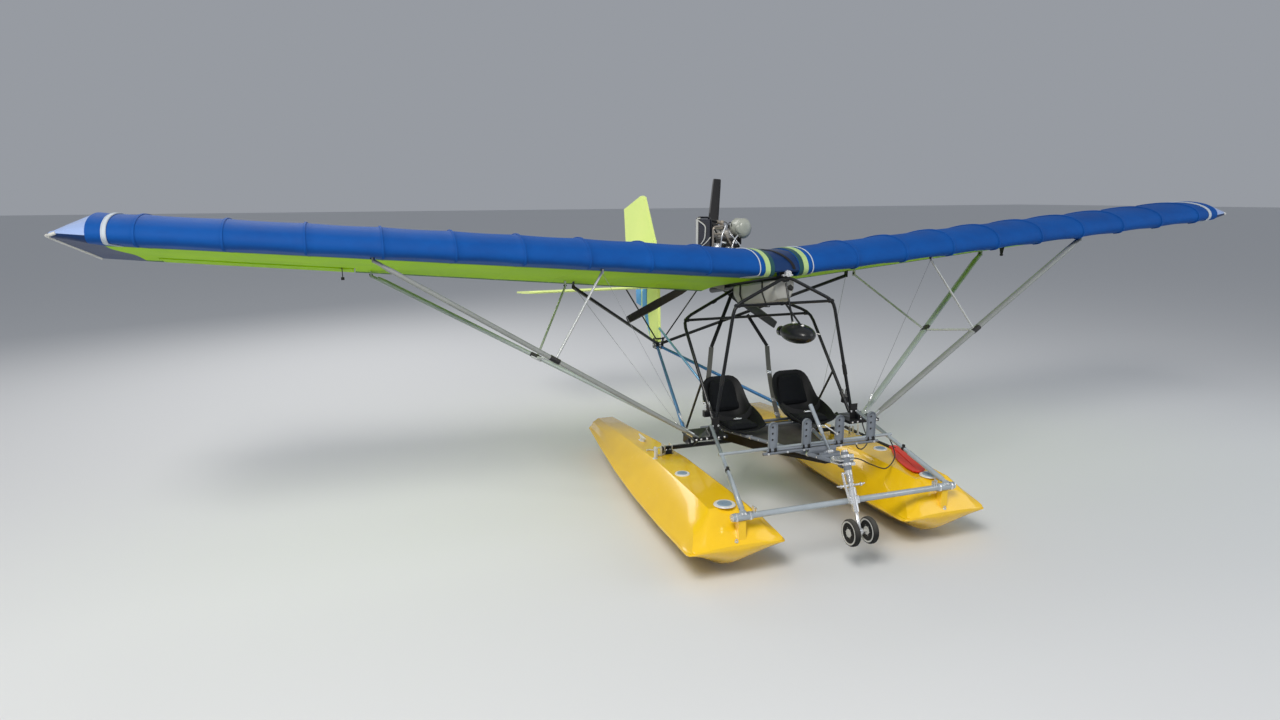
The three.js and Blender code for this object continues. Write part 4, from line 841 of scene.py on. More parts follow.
# Wing struts: streamlined alloy tubes from the cage foot to the spars, steadied by thin jury struts.
# Their ends are forked plates on one bolt, and the jury struts hold them in wrapped collars.
strut_alloy = coated("strut_alloy", (0.25, 0.265, 0.255), 0.34, 0.10, (0.5, 0.5, 0.5))
jury_paint = coated("jury_strut_alloy", (0.50, 0.52, 0.52), 0.3, 0.08, (0.6, 0.6, 0.6), coat=0.3)
pale_strut = coated("pale_strut_alloy", (0.34, 0.39, 0.37), 0.36, 0.10, (0.6, 0.6, 0.6))
for side, s in SIDES:
    for node, metal in (("wing_strut_front_", strut_alloy), ("wing_strut_rear_", pale_strut), ("jury_struts_", jury_paint)):
        dressed(node + side, node + side + "_tube", metal, smooth=60)
    ends = bmesh.new()
    for x, y, z in (
        (3.130, 0.055, -0.088), (3.130, 1.300, -0.345), (1.495, 0.080, -0.092),
        (1.500, 1.230, -0.342), (1.420, 1.250, -0.345),
    ):
        for way in (-1, 1):
            bolt(ends, wing_at(s, x, y, z) + Vector((way * 0.008, 0, 0.012)), (way, 0, 0), 0.006)
    add("strut_bolts_" + side, ends, black_fitting)
    sleeves = bmesh.new()
    for y_foot, top in ((-0.148, (3.130, 0.055, 2.2355)), (-0.020, (3.130, 1.300, 2.0308))):
        foot = Vector((s * 0.800, y_foot, 0.790))
        way = (Vector((s * top[0], top[1], top[2])) - foot).normalized()
        disc(sleeves, at(*(foot + way * 0.075)), way, 0.020, 0.055, 20, 0.018)
        bolt(sleeves, at(*(foot + way * 0.075)) + Vector((0, -0.020, 0)), (0, -1, 0), 0.006)
    add("strut_sleeves_" + side, sleeves, bright_alloy, bevel=0.0008)
    for name, y_foot, top, metal, wide, deep in (
        ("front", -0.148, (3.130, 0.055, 2.2355), strut_alloy, 0.040, 0.0185), ("rear", -0.020, (3.130, 1.300, 2.0308), pale_strut, 0.036, 0.0170),
    ):
        foot, head = Vector((s * 0.800, y_foot, 0.790)), Vector((s * top[0], top[1], top[2]))
        way = (head - foot).normalized()
        chord = (Vector((0, 1, 0)) - way * way.y).normalized()
        sections = []
        for t, grown in ((0.045, 0.72), (0.070, 1.0), (0.40, 1.0), (0.70, 1.0), (0.950, 1.0), (0.975, 0.72)):
            middle = foot.lerp(head, t)
            ring = []
            for c, d in ((-1.0, 0.0), (-0.92, 0.45), (-0.70, 0.82), (-0.35, 1.0), (0.05, 0.92), (0.50, 0.58), (0.85, 0.22), (1.0, 0.03), (1.0, -0.03), (0.85, -0.22), (0.50, -0.58), (0.05, -0.92), (-0.35, -1.0), (-0.70, -0.82), (-0.92, -0.45)):
                ring.append(at(*(middle + chord * c * wide * grown + way.cross(chord) * d * deep * grown)))
            sections.append(ring)
        fairing = bmesh.new()
        lofted(fairing, sections)
        add("strut_fairing_" + name + "_" + side, fairing, metal, smooth=50)
        grip_band = bmesh.new()
        sections = []
        for t in (0.462, 0.492):
            middle = foot.lerp(head, t)
            sections.append([at(*(middle + chord * c * wide * 1.06 + way.cross(chord) * d * deep * 1.18)) for c, d in ((-1.0, 0.0), (-0.75, 0.8), (-0.2, 1.0), (0.5, 0.7), (1.0, 0.15), (1.0, -0.15), (0.5, -0.7), (-0.2, -1.0), (-0.75, -0.8))])
        lofted(grip_band, sections)
        add("strut_collar_" + name + "_" + side, grip_band, black_fitting, bevel=0.002)

# Tail booms: four drawn tubes that meet in the tail fitting, black above and blue below.
# Taut wire stays run beside them, each with a turnbuckle near its lower end.
blue_tube = alloy("blue_anodised_tube", (0.07, 0.24, 0.52), 0.32, 0.05)
sky_tube = alloy("sky_anodised_tube", (0.22, 0.48, 0.78), 0.30, 0.05)
stay_wire = alloy("stay_wire", (0.30, 0.31, 0.32), 0.35, 0.05)
for side, s in SIDES:
    dressed("tail_boom_upper_" + side, "upper_boom_" + side, black_paint, smooth=60)
    dressed("tail_boom_lower_" + side, "lower_boom_" + side, blue_tube, smooth=60)
    wires = bmesh.new()
    buckles = bmesh.new()
    for top, foot in (
        ((1.420, 1.250, 1.868), (0.622, 0.432, 0.575)),
        ((1.495, 0.084, 2.094), (0.822, -0.020, 0.802)),
    ):
        a, b = at(s * top[0], top[1], top[2]), at(s * foot[0], foot[1], foot[2])
        tube(wires, [a, b], 0.0016, 6)
        disc(buckles, b.lerp(a, 0.10), a - b, 0.006, 0.070, 12)
        disc(buckles, b.lerp(a, 0.10), a - b, 0.0085, 0.020, 6)
        disc(buckles, b.lerp(a, 0.01), a - b, 0.005, 0.024, 10)
    add("stay_wires_" + side, wires, stay_wire)
    add("stay_turnbuckles_" + side, buckles, bright_alloy, bevel=0.0005)
dressed("control_tube", "control_tube_line", sky_tube, smooth=60)
dressed("stabiliser_struts", "stabiliser_strut_tubes", black_paint, smooth=60)
tail_pins = bmesh.new()
for x in (-0.047, 0.047):
    for y, z in ((2.835, 0.935), (2.835, 0.975), (2.895, 0.955)):
        bolt(tail_pins, at(x, y, z), (x, 0, 0), 0.006)
for z in (0.925, 0.955, 0.985):
    disc(tail_pins, at(0, 2.806, z), (0, 1, 0), 0.010, 0.014, 14)
add("tail_fitting_pins", tail_pins, bright_alloy, bevel=0.0005)
pulleys = bmesh.new()
for x in (-0.055, 0.055):
    disc(pulleys, at(x, 2.860, 1.020), (1, 0, 0), 0.026, 0.004, 24)
    disc(pulleys, at(x, 2.860, 1.020), (1, 0, 0), 0.019, 0.012, 24)
    strip(pulleys, at(x, 2.860, 1.020), at(x, 2.845, 0.975), 0.016, 0.003, (1, 0, 0))
add("control_pulleys", pulleys, black_fitting)


# Tail cloth: lime covers over tube frames, with thin battens that show as ridges on both faces.
# The foot of the fin and of the rudder is coloured sky blue, edged with a dark strip.
# The tail cloth is the lime made much paler and yellower to stand for sunlight on the fin: partly painted light.
sunlit_tail_cloth = sailcloth("tail_cloth_painted_sunlit", (0.90, 1.0, 0.34), (0.74, 0.94, 0.24), 0.2, 0.5)
sky_foot_colour = sailcloth("sky_blue_foot", (0.10, 0.42, 0.80), (0.06, 0.30, 0.66), 0.2, 0.5)
for node, body in (("fin", "airframe"), ("rudder", "rudder"), ("stabiliser", "airframe"), ("elevator", "elevator")):
    dressed(node, node + "_cloth", sunlit_tail_cloth, body, bevel=0.004, smooth=30)
for name, body, half, foot, edge_line in (
    ("fin", "airframe", 0.0163, ((3.09, 1.01), (3.37, 1.335), (3.37, 1.60), (3.20, 1.60), (3.205, 1.40)), ((3.205, 1.40), (3.20, 1.60), (3.37, 1.60))),
    ("rudder", "rudder", 0.0123, ((3.412, 1.34), (3.600, 1.36), (3.615, 1.55), (3.412, 1.55)), ((3.412, 1.55), (3.615, 1.55))),
):
    patch = bmesh.new()
    foot_edge_strips = bmesh.new()
    for way in (-1, 1):
        panel(patch, [at(way * half, y, z) for y, z in foot], 0.0012, (way, 0, 0))
        for a, b in zip(edge_line, edge_line[1:]):
            strip(foot_edge_strips, at(way * (half + 0.0006), *a), at(way * (half + 0.0006), *b), 0.010, 0.0014, (1, 0, 0))
    add(name + "_foot_patch", patch, sky_foot_colour, body)
    add(name + "_foot_edge_strip", foot_edge_strips, navy_cloth, body)
fin_battens = bmesh.new()
for a, b in (
    ((2.855, 1.62), (3.190, 1.62)), ((2.900, 1.88), (3.378, 1.88)), ((2.965, 2.15), (3.378, 2.15)),
    ((3.140, 2.40), (3.378, 2.40)),
):
    for x in (-0.0155, 0.0155):
        strip(fin_battens, at(x, *a), at(x, *b), 0.014, 0.004, (1, 0, 0))
add("fin_battens", fin_battens, sunlit_tail_cloth)
rudder_battens = bmesh.new()
for a, b in (
    ((3.392, 1.60), (3.66, 1.60)), ((3.392, 1.86), (3.84, 1.86)), ((3.392, 2.12), (3.99, 2.12)),
    ((3.392, 2.38), (4.03, 2.38)),
):
    for x in (-0.0115, 0.0115):
        strip(rudder_battens, at(x, *a), at(x, *b), 0.014, 0.004, (1, 0, 0))
add("rudder_battens", rudder_battens, sunlit_tail_cloth, "rudder")

# Propeller: three moulded blades clamped in an alloy hub, with a worn grey tape on each nose.
# Six bolts pass through the hub and its backing plate.
blade_black, tree, shader = plain_finish("moulded_blade", 0.42)
speck = placed(tree, grain, Scale=900.0)
bug = placed(tree, scuffs, Scale=20.0, Amount=0.6)
worn_black = math_node(tree, "MULTIPLY", bug.outputs["Mask"], 0.5)
tree.links.new(mixed(tree, worn_black, (0.010, 0.010, 0.011), (0.10, 0.10, 0.10)), shader.inputs["Base Color"])
tree.links.new(ramped(tree, bug.outputs["Height"], 0.34, 0.55), shader.inputs["Roughness"])
bumped(tree, shader, speck.outputs["Height"], 0.1, 0.0005)
nose_tape = coated("blade_nose_tape", (0.12, 0.12, 0.12), 0.5, 0.1, (0.3, 0.3, 0.3))
HUB = at(0, 1.475, 1.885)
BLADE = [
    (0.040, 0.040, 0.034, 60), (0.100, 0.042, 0.036, 52), (0.170, 0.070, 0.028, 42), (0.300, 0.104, 0.018, 30),
    (0.600, 0.098, 0.011, 19), (0.860, 0.084, 0.007, 13), (0.920, 0.078, 0.006, 12), (0.9285, 0.066, 0.0045, 12),
]
blades = bmesh.new()
tapes = bmesh.new()
for k in range(3):
    turn = math.radians(85 + 120 * k)
    out, across = Vector((math.cos(turn), 0, math.sin(turn))), Vector((-math.sin(turn), 0, math.cos(turn)))
    rings, strips = [], []
    for r, chord, thick, pitch in BLADE:
        tilt = math.radians(pitch)
        wide = across * math.cos(tilt) + Vector((0, math.sin(tilt), 0))
        deep = -across * math.sin(tilt) + Vector((0, math.cos(tilt), 0))
        shape = []
        for j in range(16):
            a = math.tau * j / 16
            bulge = 1 if math.sin(a) >= 0 else 0.55
            shape.append(HUB + out * r + wide * math.cos(a) * chord / 2 + deep * math.sin(a) * thick / 2 * bulge)
        rings.append(shape)
        if r > 0.5:
            corners = ((0.503, -0.3), (0.503, 0.3), (0.38, 0.62), (0.38, -0.45))
            strips.append([HUB + out * r + wide * chord * w + deep * (thick * d) for w, d in corners])
    lofted(blades, rings)
    lofted(tapes, strips)
    disc(blades, HUB + out * 0.062, out, 0.026, 0.060, 24)
for y0, y1, r in ((1.446, 1.504, 0.066), (1.504, 1.530, 0.030), (1.4053, 1.446, 0.040)):
    disc(blades, at(0, (y0 + y1) / 2, 1.885), (0, 1, 0), r, y1 - y0, 40)
add("propeller_blades", blades, blade_black, "propeller", ["propeller"], 40, 0.001)
add("propeller_nose_tapes", tapes, nose_tape, "propeller")
hub = bmesh.new()
for k in range(6):
    a = math.radians(30 + 60 * k)
    bolt(hub, at(0.048 * math.cos(a), 1.506, 1.885 + 0.048 * math.sin(a)), (0, 1, 0), 0.007)
disc(hub, HUB, (0, 1, 0), 0.0675, 0.012, 40)
disc(hub, at(0, 1.449, 1.885), (0, 1, 0), 0.060, 0.006, 40)
add("propeller_hub_bolts", hub, bright_alloy, "propeller", bevel=0.0008)

# Instrument pod: a glossy moulded egg on two rods, with three dials in the flat face behind it.
# A short white tube on its port side takes the air for the speed dial.
pod_gloss = coated("pod_gloss", (0.008, 0.009, 0.010), 0.34, 0.04, (0.05, 0.05, 0.05), coat=0.25)
dressed("instrument_pod", "pod_shell", pod_gloss, smooth=60)
dial_face = coated("dial_face", (0.006, 0.006, 0.007), 0.2, 0.0, (0.02, 0.02, 0.02), coat=1.0)
dial_marks = coated("dial_marks", (0.75, 0.75, 0.72), 0.5, 0.0, (0.6, 0.6, 0.6))
pod_fittings = bmesh.new()
dials = bmesh.new()
marks = bmesh.new()
for x, z, r in ((-0.052, 1.588, 0.036), (0.034, 1.598, 0.030), (0.034, 1.540, 0.021)):
    face = at(x, -0.083 if r > 0.034 else -0.086, z)
    disc(dials, face + Vector((0, -0.010, 0)), (0, 1, 0), r * 1.12, 0.036, 32)
    disc(pod_fittings, face + Vector((0, 0.0095, 0)), (0, 1, 0), r * 1.16, 0.004, 32, r * 1.06)
    disc(dials, face + Vector((0, 0.0115, 0)), (0, 1, 0), r, 0.002, 32)
    for k in range(10):
        a = math.radians(-50 + 28 * k)
        way = Vector((math.cos(a), 0, math.sin(a)))
        tick = face + Vector((0, 0.013, 0))
        strip(marks, tick + way * r * 0.74, tick + way * r * 0.92, 0.001, 0.0016, (0, 1, 0))
    aim = Vector((math.cos(0.9 + x * 9), 0, math.sin(0.9 + x * 9)))
    strip(marks, face + Vector((0, 0.0135, 0)) - aim * r * 0.15, face + Vector((0, 0.0135, 0)) + aim * r * 0.66, 0.001, 0.0022, (0, 1, 0))
add("pod_dials", dials, dial_face)
add("pod_dial_marks", marks, dial_marks)
tube(pod_fittings, [at(0.085, -0.300, 1.600), at(0.108, -0.400, 1.600)], 0.0045, 10)
disc(pod_fittings, at(0, -0.188, 1.660), (0, 0.4, 1), 0.014, 0.020, 16)
disc(pod_fittings, at(0, -0.322, 1.656), (0, 0.8, 1), 0.013, 0.020, 16)
add("pod_bezels", pod_fittings, white_plastic, bevel=0.0005)

# Fuel tank: translucent white plastic, blow-moulded, held under the root tube by two straps.
# A black cap screws on ahead, and the fuel shows as a warmer tone in the lower half.
tank_plastic, tree, shader = plain_finish("milky_tank_plastic", 0.38)
milk = placed(tree, grain, Scale=80.0)
stains = placed(tree, scuffs, Scale=8.0, Amount=0.5)
level = tree.nodes.new("ShaderNodeSeparateXYZ")
spot = tree.nodes.new("ShaderNodeTexCoord")
tree.links.new(spot.outputs["Object"], level.inputs[0])
fuel = ramped(tree, level.outputs["Z"], 0.0, 0.3, 1.825, 1.800)
tone = mixed(tree, milk.outputs["Shade"], (0.33, 0.33, 0.30), (0.44, 0.44, 0.41))
tone = mixed(tree, fuel, tone, (0.30, 0.27, 0.19))
tone = mixed(tree, math_node(tree, "MULTIPLY", stains.outputs["Mask"], 0.3), tone, (0.22, 0.21, 0.19))
tree.links.new(tone, shader.inputs["Base Color"])
tree.links.new(ramped(tree, stains.outputs["Height"], 0.28, 0.5), shader.inputs["Roughness"])
bumped(tree, shader, milk.outputs["Height"], 0.1, 0.001)
shader.inputs["Subsurface Weight"].default_value = 0.15
shader.inputs["Subsurface Radius"].default_value = (0.03, 0.03, 0.02)
tank_line = [(-0.020, 1.985, 1.835, 0.085), (0.060, 1.978, 1.800, 0.122), (0.600, 1.885, 1.712, 0.125), (0.715, 1.864, 1.735, 0.095)]
body = bmesh.new()
rings = []
for i, (y, top, low, half) in enumerate(tank_line[:-1]):
    following = tank_line[i + 1]
    count = (2, 10, 3)[i]
    for k in range(count + (1 if i == 2 else 0)):
        t = k / count
        y_, top_, low_, half_ = (a + (b - a) * t for a, b in zip((y, top, low, half), following))
        pinch = 0.005 if i == 1 and k in (2, 3, 7, 8) else 0.0
        mid, half_ = (top_ + low_) / 2, half_ - pinch
        ring = [
            (half_, top_ - 0.012), (half_, mid + 0.01), (half_ - 0.006, mid - 0.02), (half_ - 0.035, low_ + pinch),
            (0.0, low_ + 0.004 + pinch), (0.035 - half_, low_ + pinch), (0.006 - half_, mid - 0.02), (-half_, mid + 0.01),
            (-half_, top_ - 0.012), (0.012 - half_, top_), (half_ - 0.012, top_),
        ]
        rings.append([at(x, y_, z) for x, z in ring])
lofted(body, rings)
add("tank_body", body, tank_plastic, stands_for=["fuel_tank"], bevel=0.006, smooth=42)
straps = bmesh.new()
for y in (0.125, 0.520):
    t = (y - 0.060) / 0.540
    top, low, half = 1.978 - 0.093 * t, 1.800 - 0.088 * t, 0.122 + 0.003 * t
    mid = (top + low) / 2
    loop = [(half, top), (half, mid), (half - 0.036, low), (0.036 - half, low), (-half, mid), (-half, top)]
    for (xa, za), (xb, zb) in zip(loop, loop[1:]):
        a, b = at(xa * 1.012, y, za - 0.001), at(xb * 1.012, y, zb - 0.001)
        strip(straps, a, b, 0.0022, 0.026, (0, 1, 0))
add("tank_straps", straps, webbing)
cap = bmesh.new()
disc(cap, at(0.058, -0.004, 1.925), (0.3, -1, 0.35), 0.030, 0.030, 28)
disc(cap, at(0.063, -0.020, 1.930), (0.3, -1, 0.35), 0.026, 0.010, 28, 0.022)
disc(cap, at(0.020, 0.250, 1.762), (0, 0, -1), 0.010, 0.022, 16)
tube(cap, [at(*p) for p in rounded([(0.020, 0.250, 1.758), (0.020, 0.252, 1.735), (-0.06, 0.62, 1.700), (-0.09, 0.93, 1.80)], 0.03)], 0.0045, 8)
add("tank_cap_and_hose", cap, black_rubber, bevel=0.0015)


# Engine: a liquid-cooled two-stroke twin in cast alloy, bolted on plates over the root tube.
# The gearbox hangs behind it, the carburettors are to starboard, and the leads run to a coil box.
cast_metal = alloy("cast_engine_metal", (0.34, 0.33, 0.31), 0.48, 0.25)
stained_pipe = alloy("heat_stained_pipe", (0.40, 0.35, 0.29), 0.42, 0.2)
jacket_paint = coated("dark_jacket_paint", (0.035, 0.033, 0.030), 0.4, 0.3, (0.25, 0.24, 0.22))
case = bmesh.new()
block(case, at(-0.098, 0.960, 2.012), at(0.098, 1.330, 2.066))
block(case, at(-0.104, 0.955, 2.066), at(0.104, 1.335, 2.078))
block(case, at(-0.092, 0.965, 2.078), at(0.092, 1.325, 2.130))
for k in range(9):
    y = 0.985 + 0.040 * k
    for s in (-1, 1):
        block(case, at(s * 0.098 - 0.006, y - 0.003, 2.016), at(s * 0.098 + 0.006, y + 0.003, 2.062))
for y in (0.975, 1.065, 1.150, 1.235, 1.315):
    for s in (-1, 1):
        bolt(case, at(s * 0.098, y, 2.078), (0, 0, 1), 0.006)
disc(case, at(0, 0.948, 2.070), (0, 1, 0), 0.052, 0.030, 32, 0.056)
disc(case, at(0, 0.932, 2.070), (0, 1, 0), 0.030, 0.010, 24)
for k in range(6):
    a = math.tau * k / 6
    strip(case, at(0.034 * math.cos(a), 0.931, 2.070 + 0.034 * math.sin(a)), at(0.050 * math.cos(a), 0.931, 2.070 + 0.050 * math.sin(a)), 0.003, 0.006, (0, 1, 0))
block(case, at(-0.090, 1.332, 1.850), at(0.090, 1.400, 2.060))
disc(case, at(0, 1.366, 2.030), (0, 1, 0), 0.070, 0.068, 32)
disc(case, at(0, 1.366, 1.885), (0, 1, 0), 0.078, 0.072, 36)
disc(case, at(0, 1.366, 1.885), (0, 1, 0), 0.050, 0.078, 32)
for k in range(10):
    a = math.tau * k / 10
    bolt(case, at(0.082 * math.cos(a), 1.401, 1.945 + 0.100 * math.sin(a)), (0, 1, 0), 0.005)
for s in (-1, 1):
    block(case, at(s * 0.057 - 0.003, 0.985, 1.800), at(s * 0.057 + 0.003, 1.325, 2.014))
    for y in (1.030, 1.110, 1.190, 1.270):
        bolt(case, at(s * 0.061, y, 1.990), (s, 0, 0), 0.006)
        disc(case, at(s * 0.061, y, 1.880), (s, 0, 0), 0.022, 0.004, 24, 0.018)
for y in (0.995, 1.315):
    block(case, at(-0.056, y - 0.004, 1.850), at(0.056, y + 0.004, 2.014))
add("engine_case", case, cast_metal, stands_for=["engine"], bevel=0.003)
jackets = bmesh.new()
heads = bmesh.new()
for y in (1.070, 1.230):
    for z, wide, deep in ((2.140, 0.082, 0.067), (2.160, 0.078, 0.064), (2.180, 0.082, 0.067), (2.200, 0.078, 0.064), (2.220, 0.082, 0.067), (2.240, 0.078, 0.064), (2.262, 0.083, 0.068)):
        block(jackets, at(-wide, y - deep, z - 0.010), at(wide, y + deep, z + 0.010))
    disc(heads, at(0, y, 2.292), (0, 0, 1), 0.066, 0.036, 32, 0.062)
    disc(heads, at(0, y, 2.326), (0, 0, 1), 0.058, 0.032, 32, 0.046)
    for k in range(8):
        a = math.tau * k / 8 + 0.2
        bolt(heads, at(0.053 * math.cos(a), y + 0.053 * math.sin(a), 2.311), (0, 0, 1), 0.0055)
        strip(heads, at(0.030 * math.cos(a), y + 0.030 * math.sin(a), 2.345), at(0.052 * math.cos(a), y + 0.052 * math.sin(a), 2.318), 0.004, 0.012)
    disc(heads, at(0.016, y, 2.352), (0.2, 0, 1), 0.009, 0.024, 6)
add("engine_jackets", jackets, jacket_paint, bevel=0.004)
add("engine_heads", heads, cast_metal, bevel=0.0015)
pipes = bmesh.new()
tube(pipes, [at(-0.030, 1.060, 2.362), at(-0.030, 1.240, 2.362)], 0.015, 16)
tube(pipes, [at(*p) for p in rounded([(-0.030, 1.110, 2.362), (-0.030, 1.110, 2.405), (-0.085, 1.108, 2.418)], 0.03)], 0.017, 16)
disc(pipes, at(-0.030, 1.110, 2.418), (0, 0, 1), 0.020, 0.020, 20, 0.017)
for y in (1.070, 1.230):
    tube(pipes, [at(*p) for p in rounded([(0.070, y, 2.200), (0.112, y, 2.200), (0.126, 1.100, 2.262), (0.126, 1.085, 2.300)], 0.03)], 0.019, 16)
    disc(pipes, at(0.086, y, 2.200), (1, 0, 0), 0.031, 0.008, 6)
tube(pipes, [at(*p) for p in rounded([(-0.220, 1.060, 2.190), (-0.170, 1.000, 2.190), (-0.170, 1.000, 2.375), (-0.060, 1.010, 2.385), (-0.040, 1.050, 2.340)], 0.03)], 0.010, 12)
tube(pipes, [at(*p) for p in rounded([(-0.160, 1.000, 2.310), (-0.060, 0.985, 2.315), (-0.020, 0.980, 2.250), (0.050, 0.975, 2.140)], 0.03)], 0.009, 12)
add("engine_pipes", pipes, stained_pipe, smooth=50)
intake = bmesh.new()
block(intake, at(-0.104, 1.015, 2.158), at(-0.082, 1.285, 2.222))
for y in (1.070, 1.230):
    disc(intake, at(-0.128, y, 2.190), (1, 0, 0), 0.024, 0.050, 24)
    disc(intake, at(-0.152, y, 2.190), (1, 0, 0), 0.029, 0.010, 24)
    block(intake, at(-0.172, y - 0.020, 2.166), at(-0.150, y + 0.020, 2.214))
    disc(intake, at(-0.160, y, 2.148), (0, 0, 1), 0.019, 0.036, 20, 0.021)
    disc(intake, at(-0.160, y, 2.232), (0, 0, 1), 0.014, 0.036, 20, 0.011)
    for z in (2.168, 2.212):
        bolt(intake, at(-0.083, y - 0.045, z), (-1, 0, 0), 0.005)
add("carburettors", intake, bright_alloy, bevel=0.001)
filters = bmesh.new()
filter_caps = bmesh.new()
for y in (1.070, 1.230):
    for k in range(8):
        disc(filters, at(-0.174 - 0.0030 * k, y, 2.190), (1, 0, 0), 0.033 if k % 2 else 0.030, 0.0032, 24)
    disc(filter_caps, at(-0.1985, y, 2.190), (1, 0, 0), 0.0335, 0.004, 28, 0.031)
add("air_filters", filters, navy_cloth)
add("air_filter_caps", filter_caps, bright_alloy, bevel=0.0008)
leads = bmesh.new()
for y, far in ((1.070, 1.105), (1.230, 1.145)):
    disc(leads, at(0.019, y, 2.372), (0.2, 0, 1), 0.011, 0.030, 16, 0.009)
    arch = [(0.021, y, 2.384), (0.026, y + 0.01, 2.408), (0.052, (y + far) / 2, 2.405), (0.070, far, 2.330), (0.088, far, 2.270)]
    tube(leads, [at(*p) for p in eased(arch, 5)], 0.0036, 10)
block(leads, at(0.084, 1.090, 2.215), at(0.102, 1.160, 2.275))
hoses = (
    [(-0.085, 1.108, 2.418), (-0.130, 1.090, 2.428), (-0.195, 1.050, 2.440)],
    [(-0.270, 1.100, 2.165), (-0.262, 1.120, 2.110), (-0.180, 1.160, 2.075), (-0.104, 1.180, 2.060)],
    [(-0.070, 0.985, 1.95), (-0.12, 0.96, 2.02), (-0.150, 1.02, 2.10), (-0.158, 1.068, 2.135)],
)
for route in hoses:
    tube(leads, [at(*p) for p in eased(route, 6)], 0.0125 if route[0][2] > 2.1 else 0.004, 14)
add("engine_leads_and_hoses", leads, black_rubber, bevel=0.0008, smooth=50)

engine_trim = bmesh.new()
for x, y, z, r, long in ((-0.085, 0.935, 2.150, 0.014, 0.030), (-0.040, 0.940, 2.190, 0.011, 0.024), (0.062, 0.935, 2.175, 0.013, 0.028), (-0.075, 0.950, 2.235, 0.010, 0.024), (0.030, 0.945, 2.235, 0.012, 0.022)):
    disc(engine_trim, at(x, y + 0.02, z), (0, -1, 0), r, long + 0.04, 18)
    disc(engine_trim, at(x, y, z), (0, -1, 0), r * 0.55, 0.010, 6)
for run in (
    [(-0.120, 0.985, 2.110), (-0.120, 0.945, 2.180), (-0.110, 0.940, 2.300), (-0.060, 0.965, 2.390)],
    [(-0.065, 0.950, 2.120), (-0.020, 0.930, 2.160), (0.010, 0.935, 2.260), (0.060, 0.960, 2.300)],
    [(0.085, 0.960, 2.110), (0.092, 0.935, 2.170), (0.060, 0.930, 2.220), (-0.010, 0.945, 2.300), (-0.020, 0.985, 2.340)],
):
    tube(engine_trim, rounded([at(*p) for p in run], 0.03), 0.0055, 10)
add("engine_trim", engine_trim, bright_alloy, bevel=0.001)

# Radiator: a finned alloy core in a black tube frame, tilted out on the starboard side.
# A hose brings the water from the heads, and a bright header tank closes its outer end.
core_grey = alloy("radiator_core", (0.10, 0.10, 0.11), 0.5, 0.2)
radiator_a, radiator_b = Vector((-0.285, 1.120)), Vector((-0.182, 1.008))
run = (radiator_b - radiator_a).normalized()
face_out = Vector((run.y, -run.x))


def radiator_at(along, z, out=0.0):
    spot = radiator_a + run * along + face_out * out
    return at(spot.x, spot.y, z)


width = (radiator_b - radiator_a).length
core = bmesh.new()
strip(core, radiator_at(0.012, 2.306), radiator_at(width - 0.012, 2.306), 0.024, 0.280)
for k in range(18):
    z = 2.176 + 0.0153 * k
    strip(core, radiator_at(0.014, z), radiator_at(width - 0.014, z), 0.029, 0.0035)
add("radiator_core", core, core_grey, stands_for=["radiator"])
radiator_frame = bmesh.new()
loop = [radiator_at(a, z) for a, z in ((0.076, 2.152), (0.006, 2.152), (0.006, 2.460), (width - 0.006, 2.460), (width - 0.006, 2.152), (0.076, 2.152))]
tube(radiator_frame, rounded(loop, 0.035), 0.0095, 14)
tube(radiator_frame, [at(-0.276, 1.115, 2.150), at(-0.276, 1.115, 2.055), at(-0.105, 1.115, 2.060)], 0.010, 12)
tube(radiator_frame, [radiator_at(width - 0.01, 2.42), at(-0.086, 1.080, 2.300)], 0.007, 10)
add("radiator_frame", radiator_frame, black_paint, smooth=60)
header = bmesh.new()
strip(header, radiator_at(0.018, 2.165, 0.010), radiator_at(0.018, 2.445, 0.010), 0.022, 0.030, (0.7, 0.7, 0))
tube(header, rounded([radiator_at(0.030, 2.432, 0.020), radiator_at(0.105, 2.385, 0.026), radiator_at(0.098, 2.270, 0.026), radiator_at(0.060, 2.222, 0.020)], 0.03), 0.006, 10)
tube(header, rounded([radiator_at(0.150, 2.285, 0.016), radiator_at(0.110, 2.235, 0.020), radiator_at(0.070, 2.205, 0.020)], 0.03), 0.005, 10)
disc(header, radiator_at(0.030, 2.452, 0.008), (0, 0, 1), 0.017, 0.012, 20)
header_paint = coated("pale_header_paint", (0.60, 0.60, 0.54), 0.35, 0.15, (0.3, 0.3, 0.28))
add("radiator_header", header, header_paint, bevel=0.002)

# Muffler: a cream-coated drum with a smaller drum welded to its front, held by springs to the manifold.
# A black bracket below ties it to the engine, and the outlet points aft.
cream_steel = coated("cream_muffler_steel", (0.36, 0.38, 0.33), 0.34, 0.1, (0.30, 0.20, 0.12), coat=0.3)
can = bmesh.new()
drum = [(-0.113, 0.30), (-0.109, 0.62), (-0.094, 0.86), (-0.066, 0.985), (0.0, 1.0), (0.066, 0.985), (0.094, 0.86), (0.109, 0.62), (0.113, 0.30)]
rings = []
for y, r in drum:
    turn = [math.tau * k / 36 for k in range(36)]
    rings.append([at(0.134 + 0.076 * r * math.cos(a), 1.060 + y, 2.358 + 0.090 * r * math.sin(a)) for a in turn])
lofted(can, rings)
for y in (-0.060, 0.060):
    turn = [math.tau * k / 36 for k in range(37)]
    tube(can, [at(0.134 + 0.0755 * math.cos(a), 1.060 + y, 2.358 + 0.0895 * math.sin(a)) for a in turn], 0.0035, 6)
small = [(-0.030, 0.5), (-0.026, 0.85), (-0.012, 1.0), (0.020, 1.0), (0.026, 0.9), (0.030, 0.6)]
lofted(can, [[at(0.094 + 0.040 * r * math.cos(a), 0.986 + y, 2.352 + 0.046 * r * math.sin(a)) for a in (math.tau * k / 28 for k in range(28))] for y, r in small])
tube(can, [at(0.150, 1.165, 2.330), at(0.150, 1.173, 2.325)], 0.020, 18)
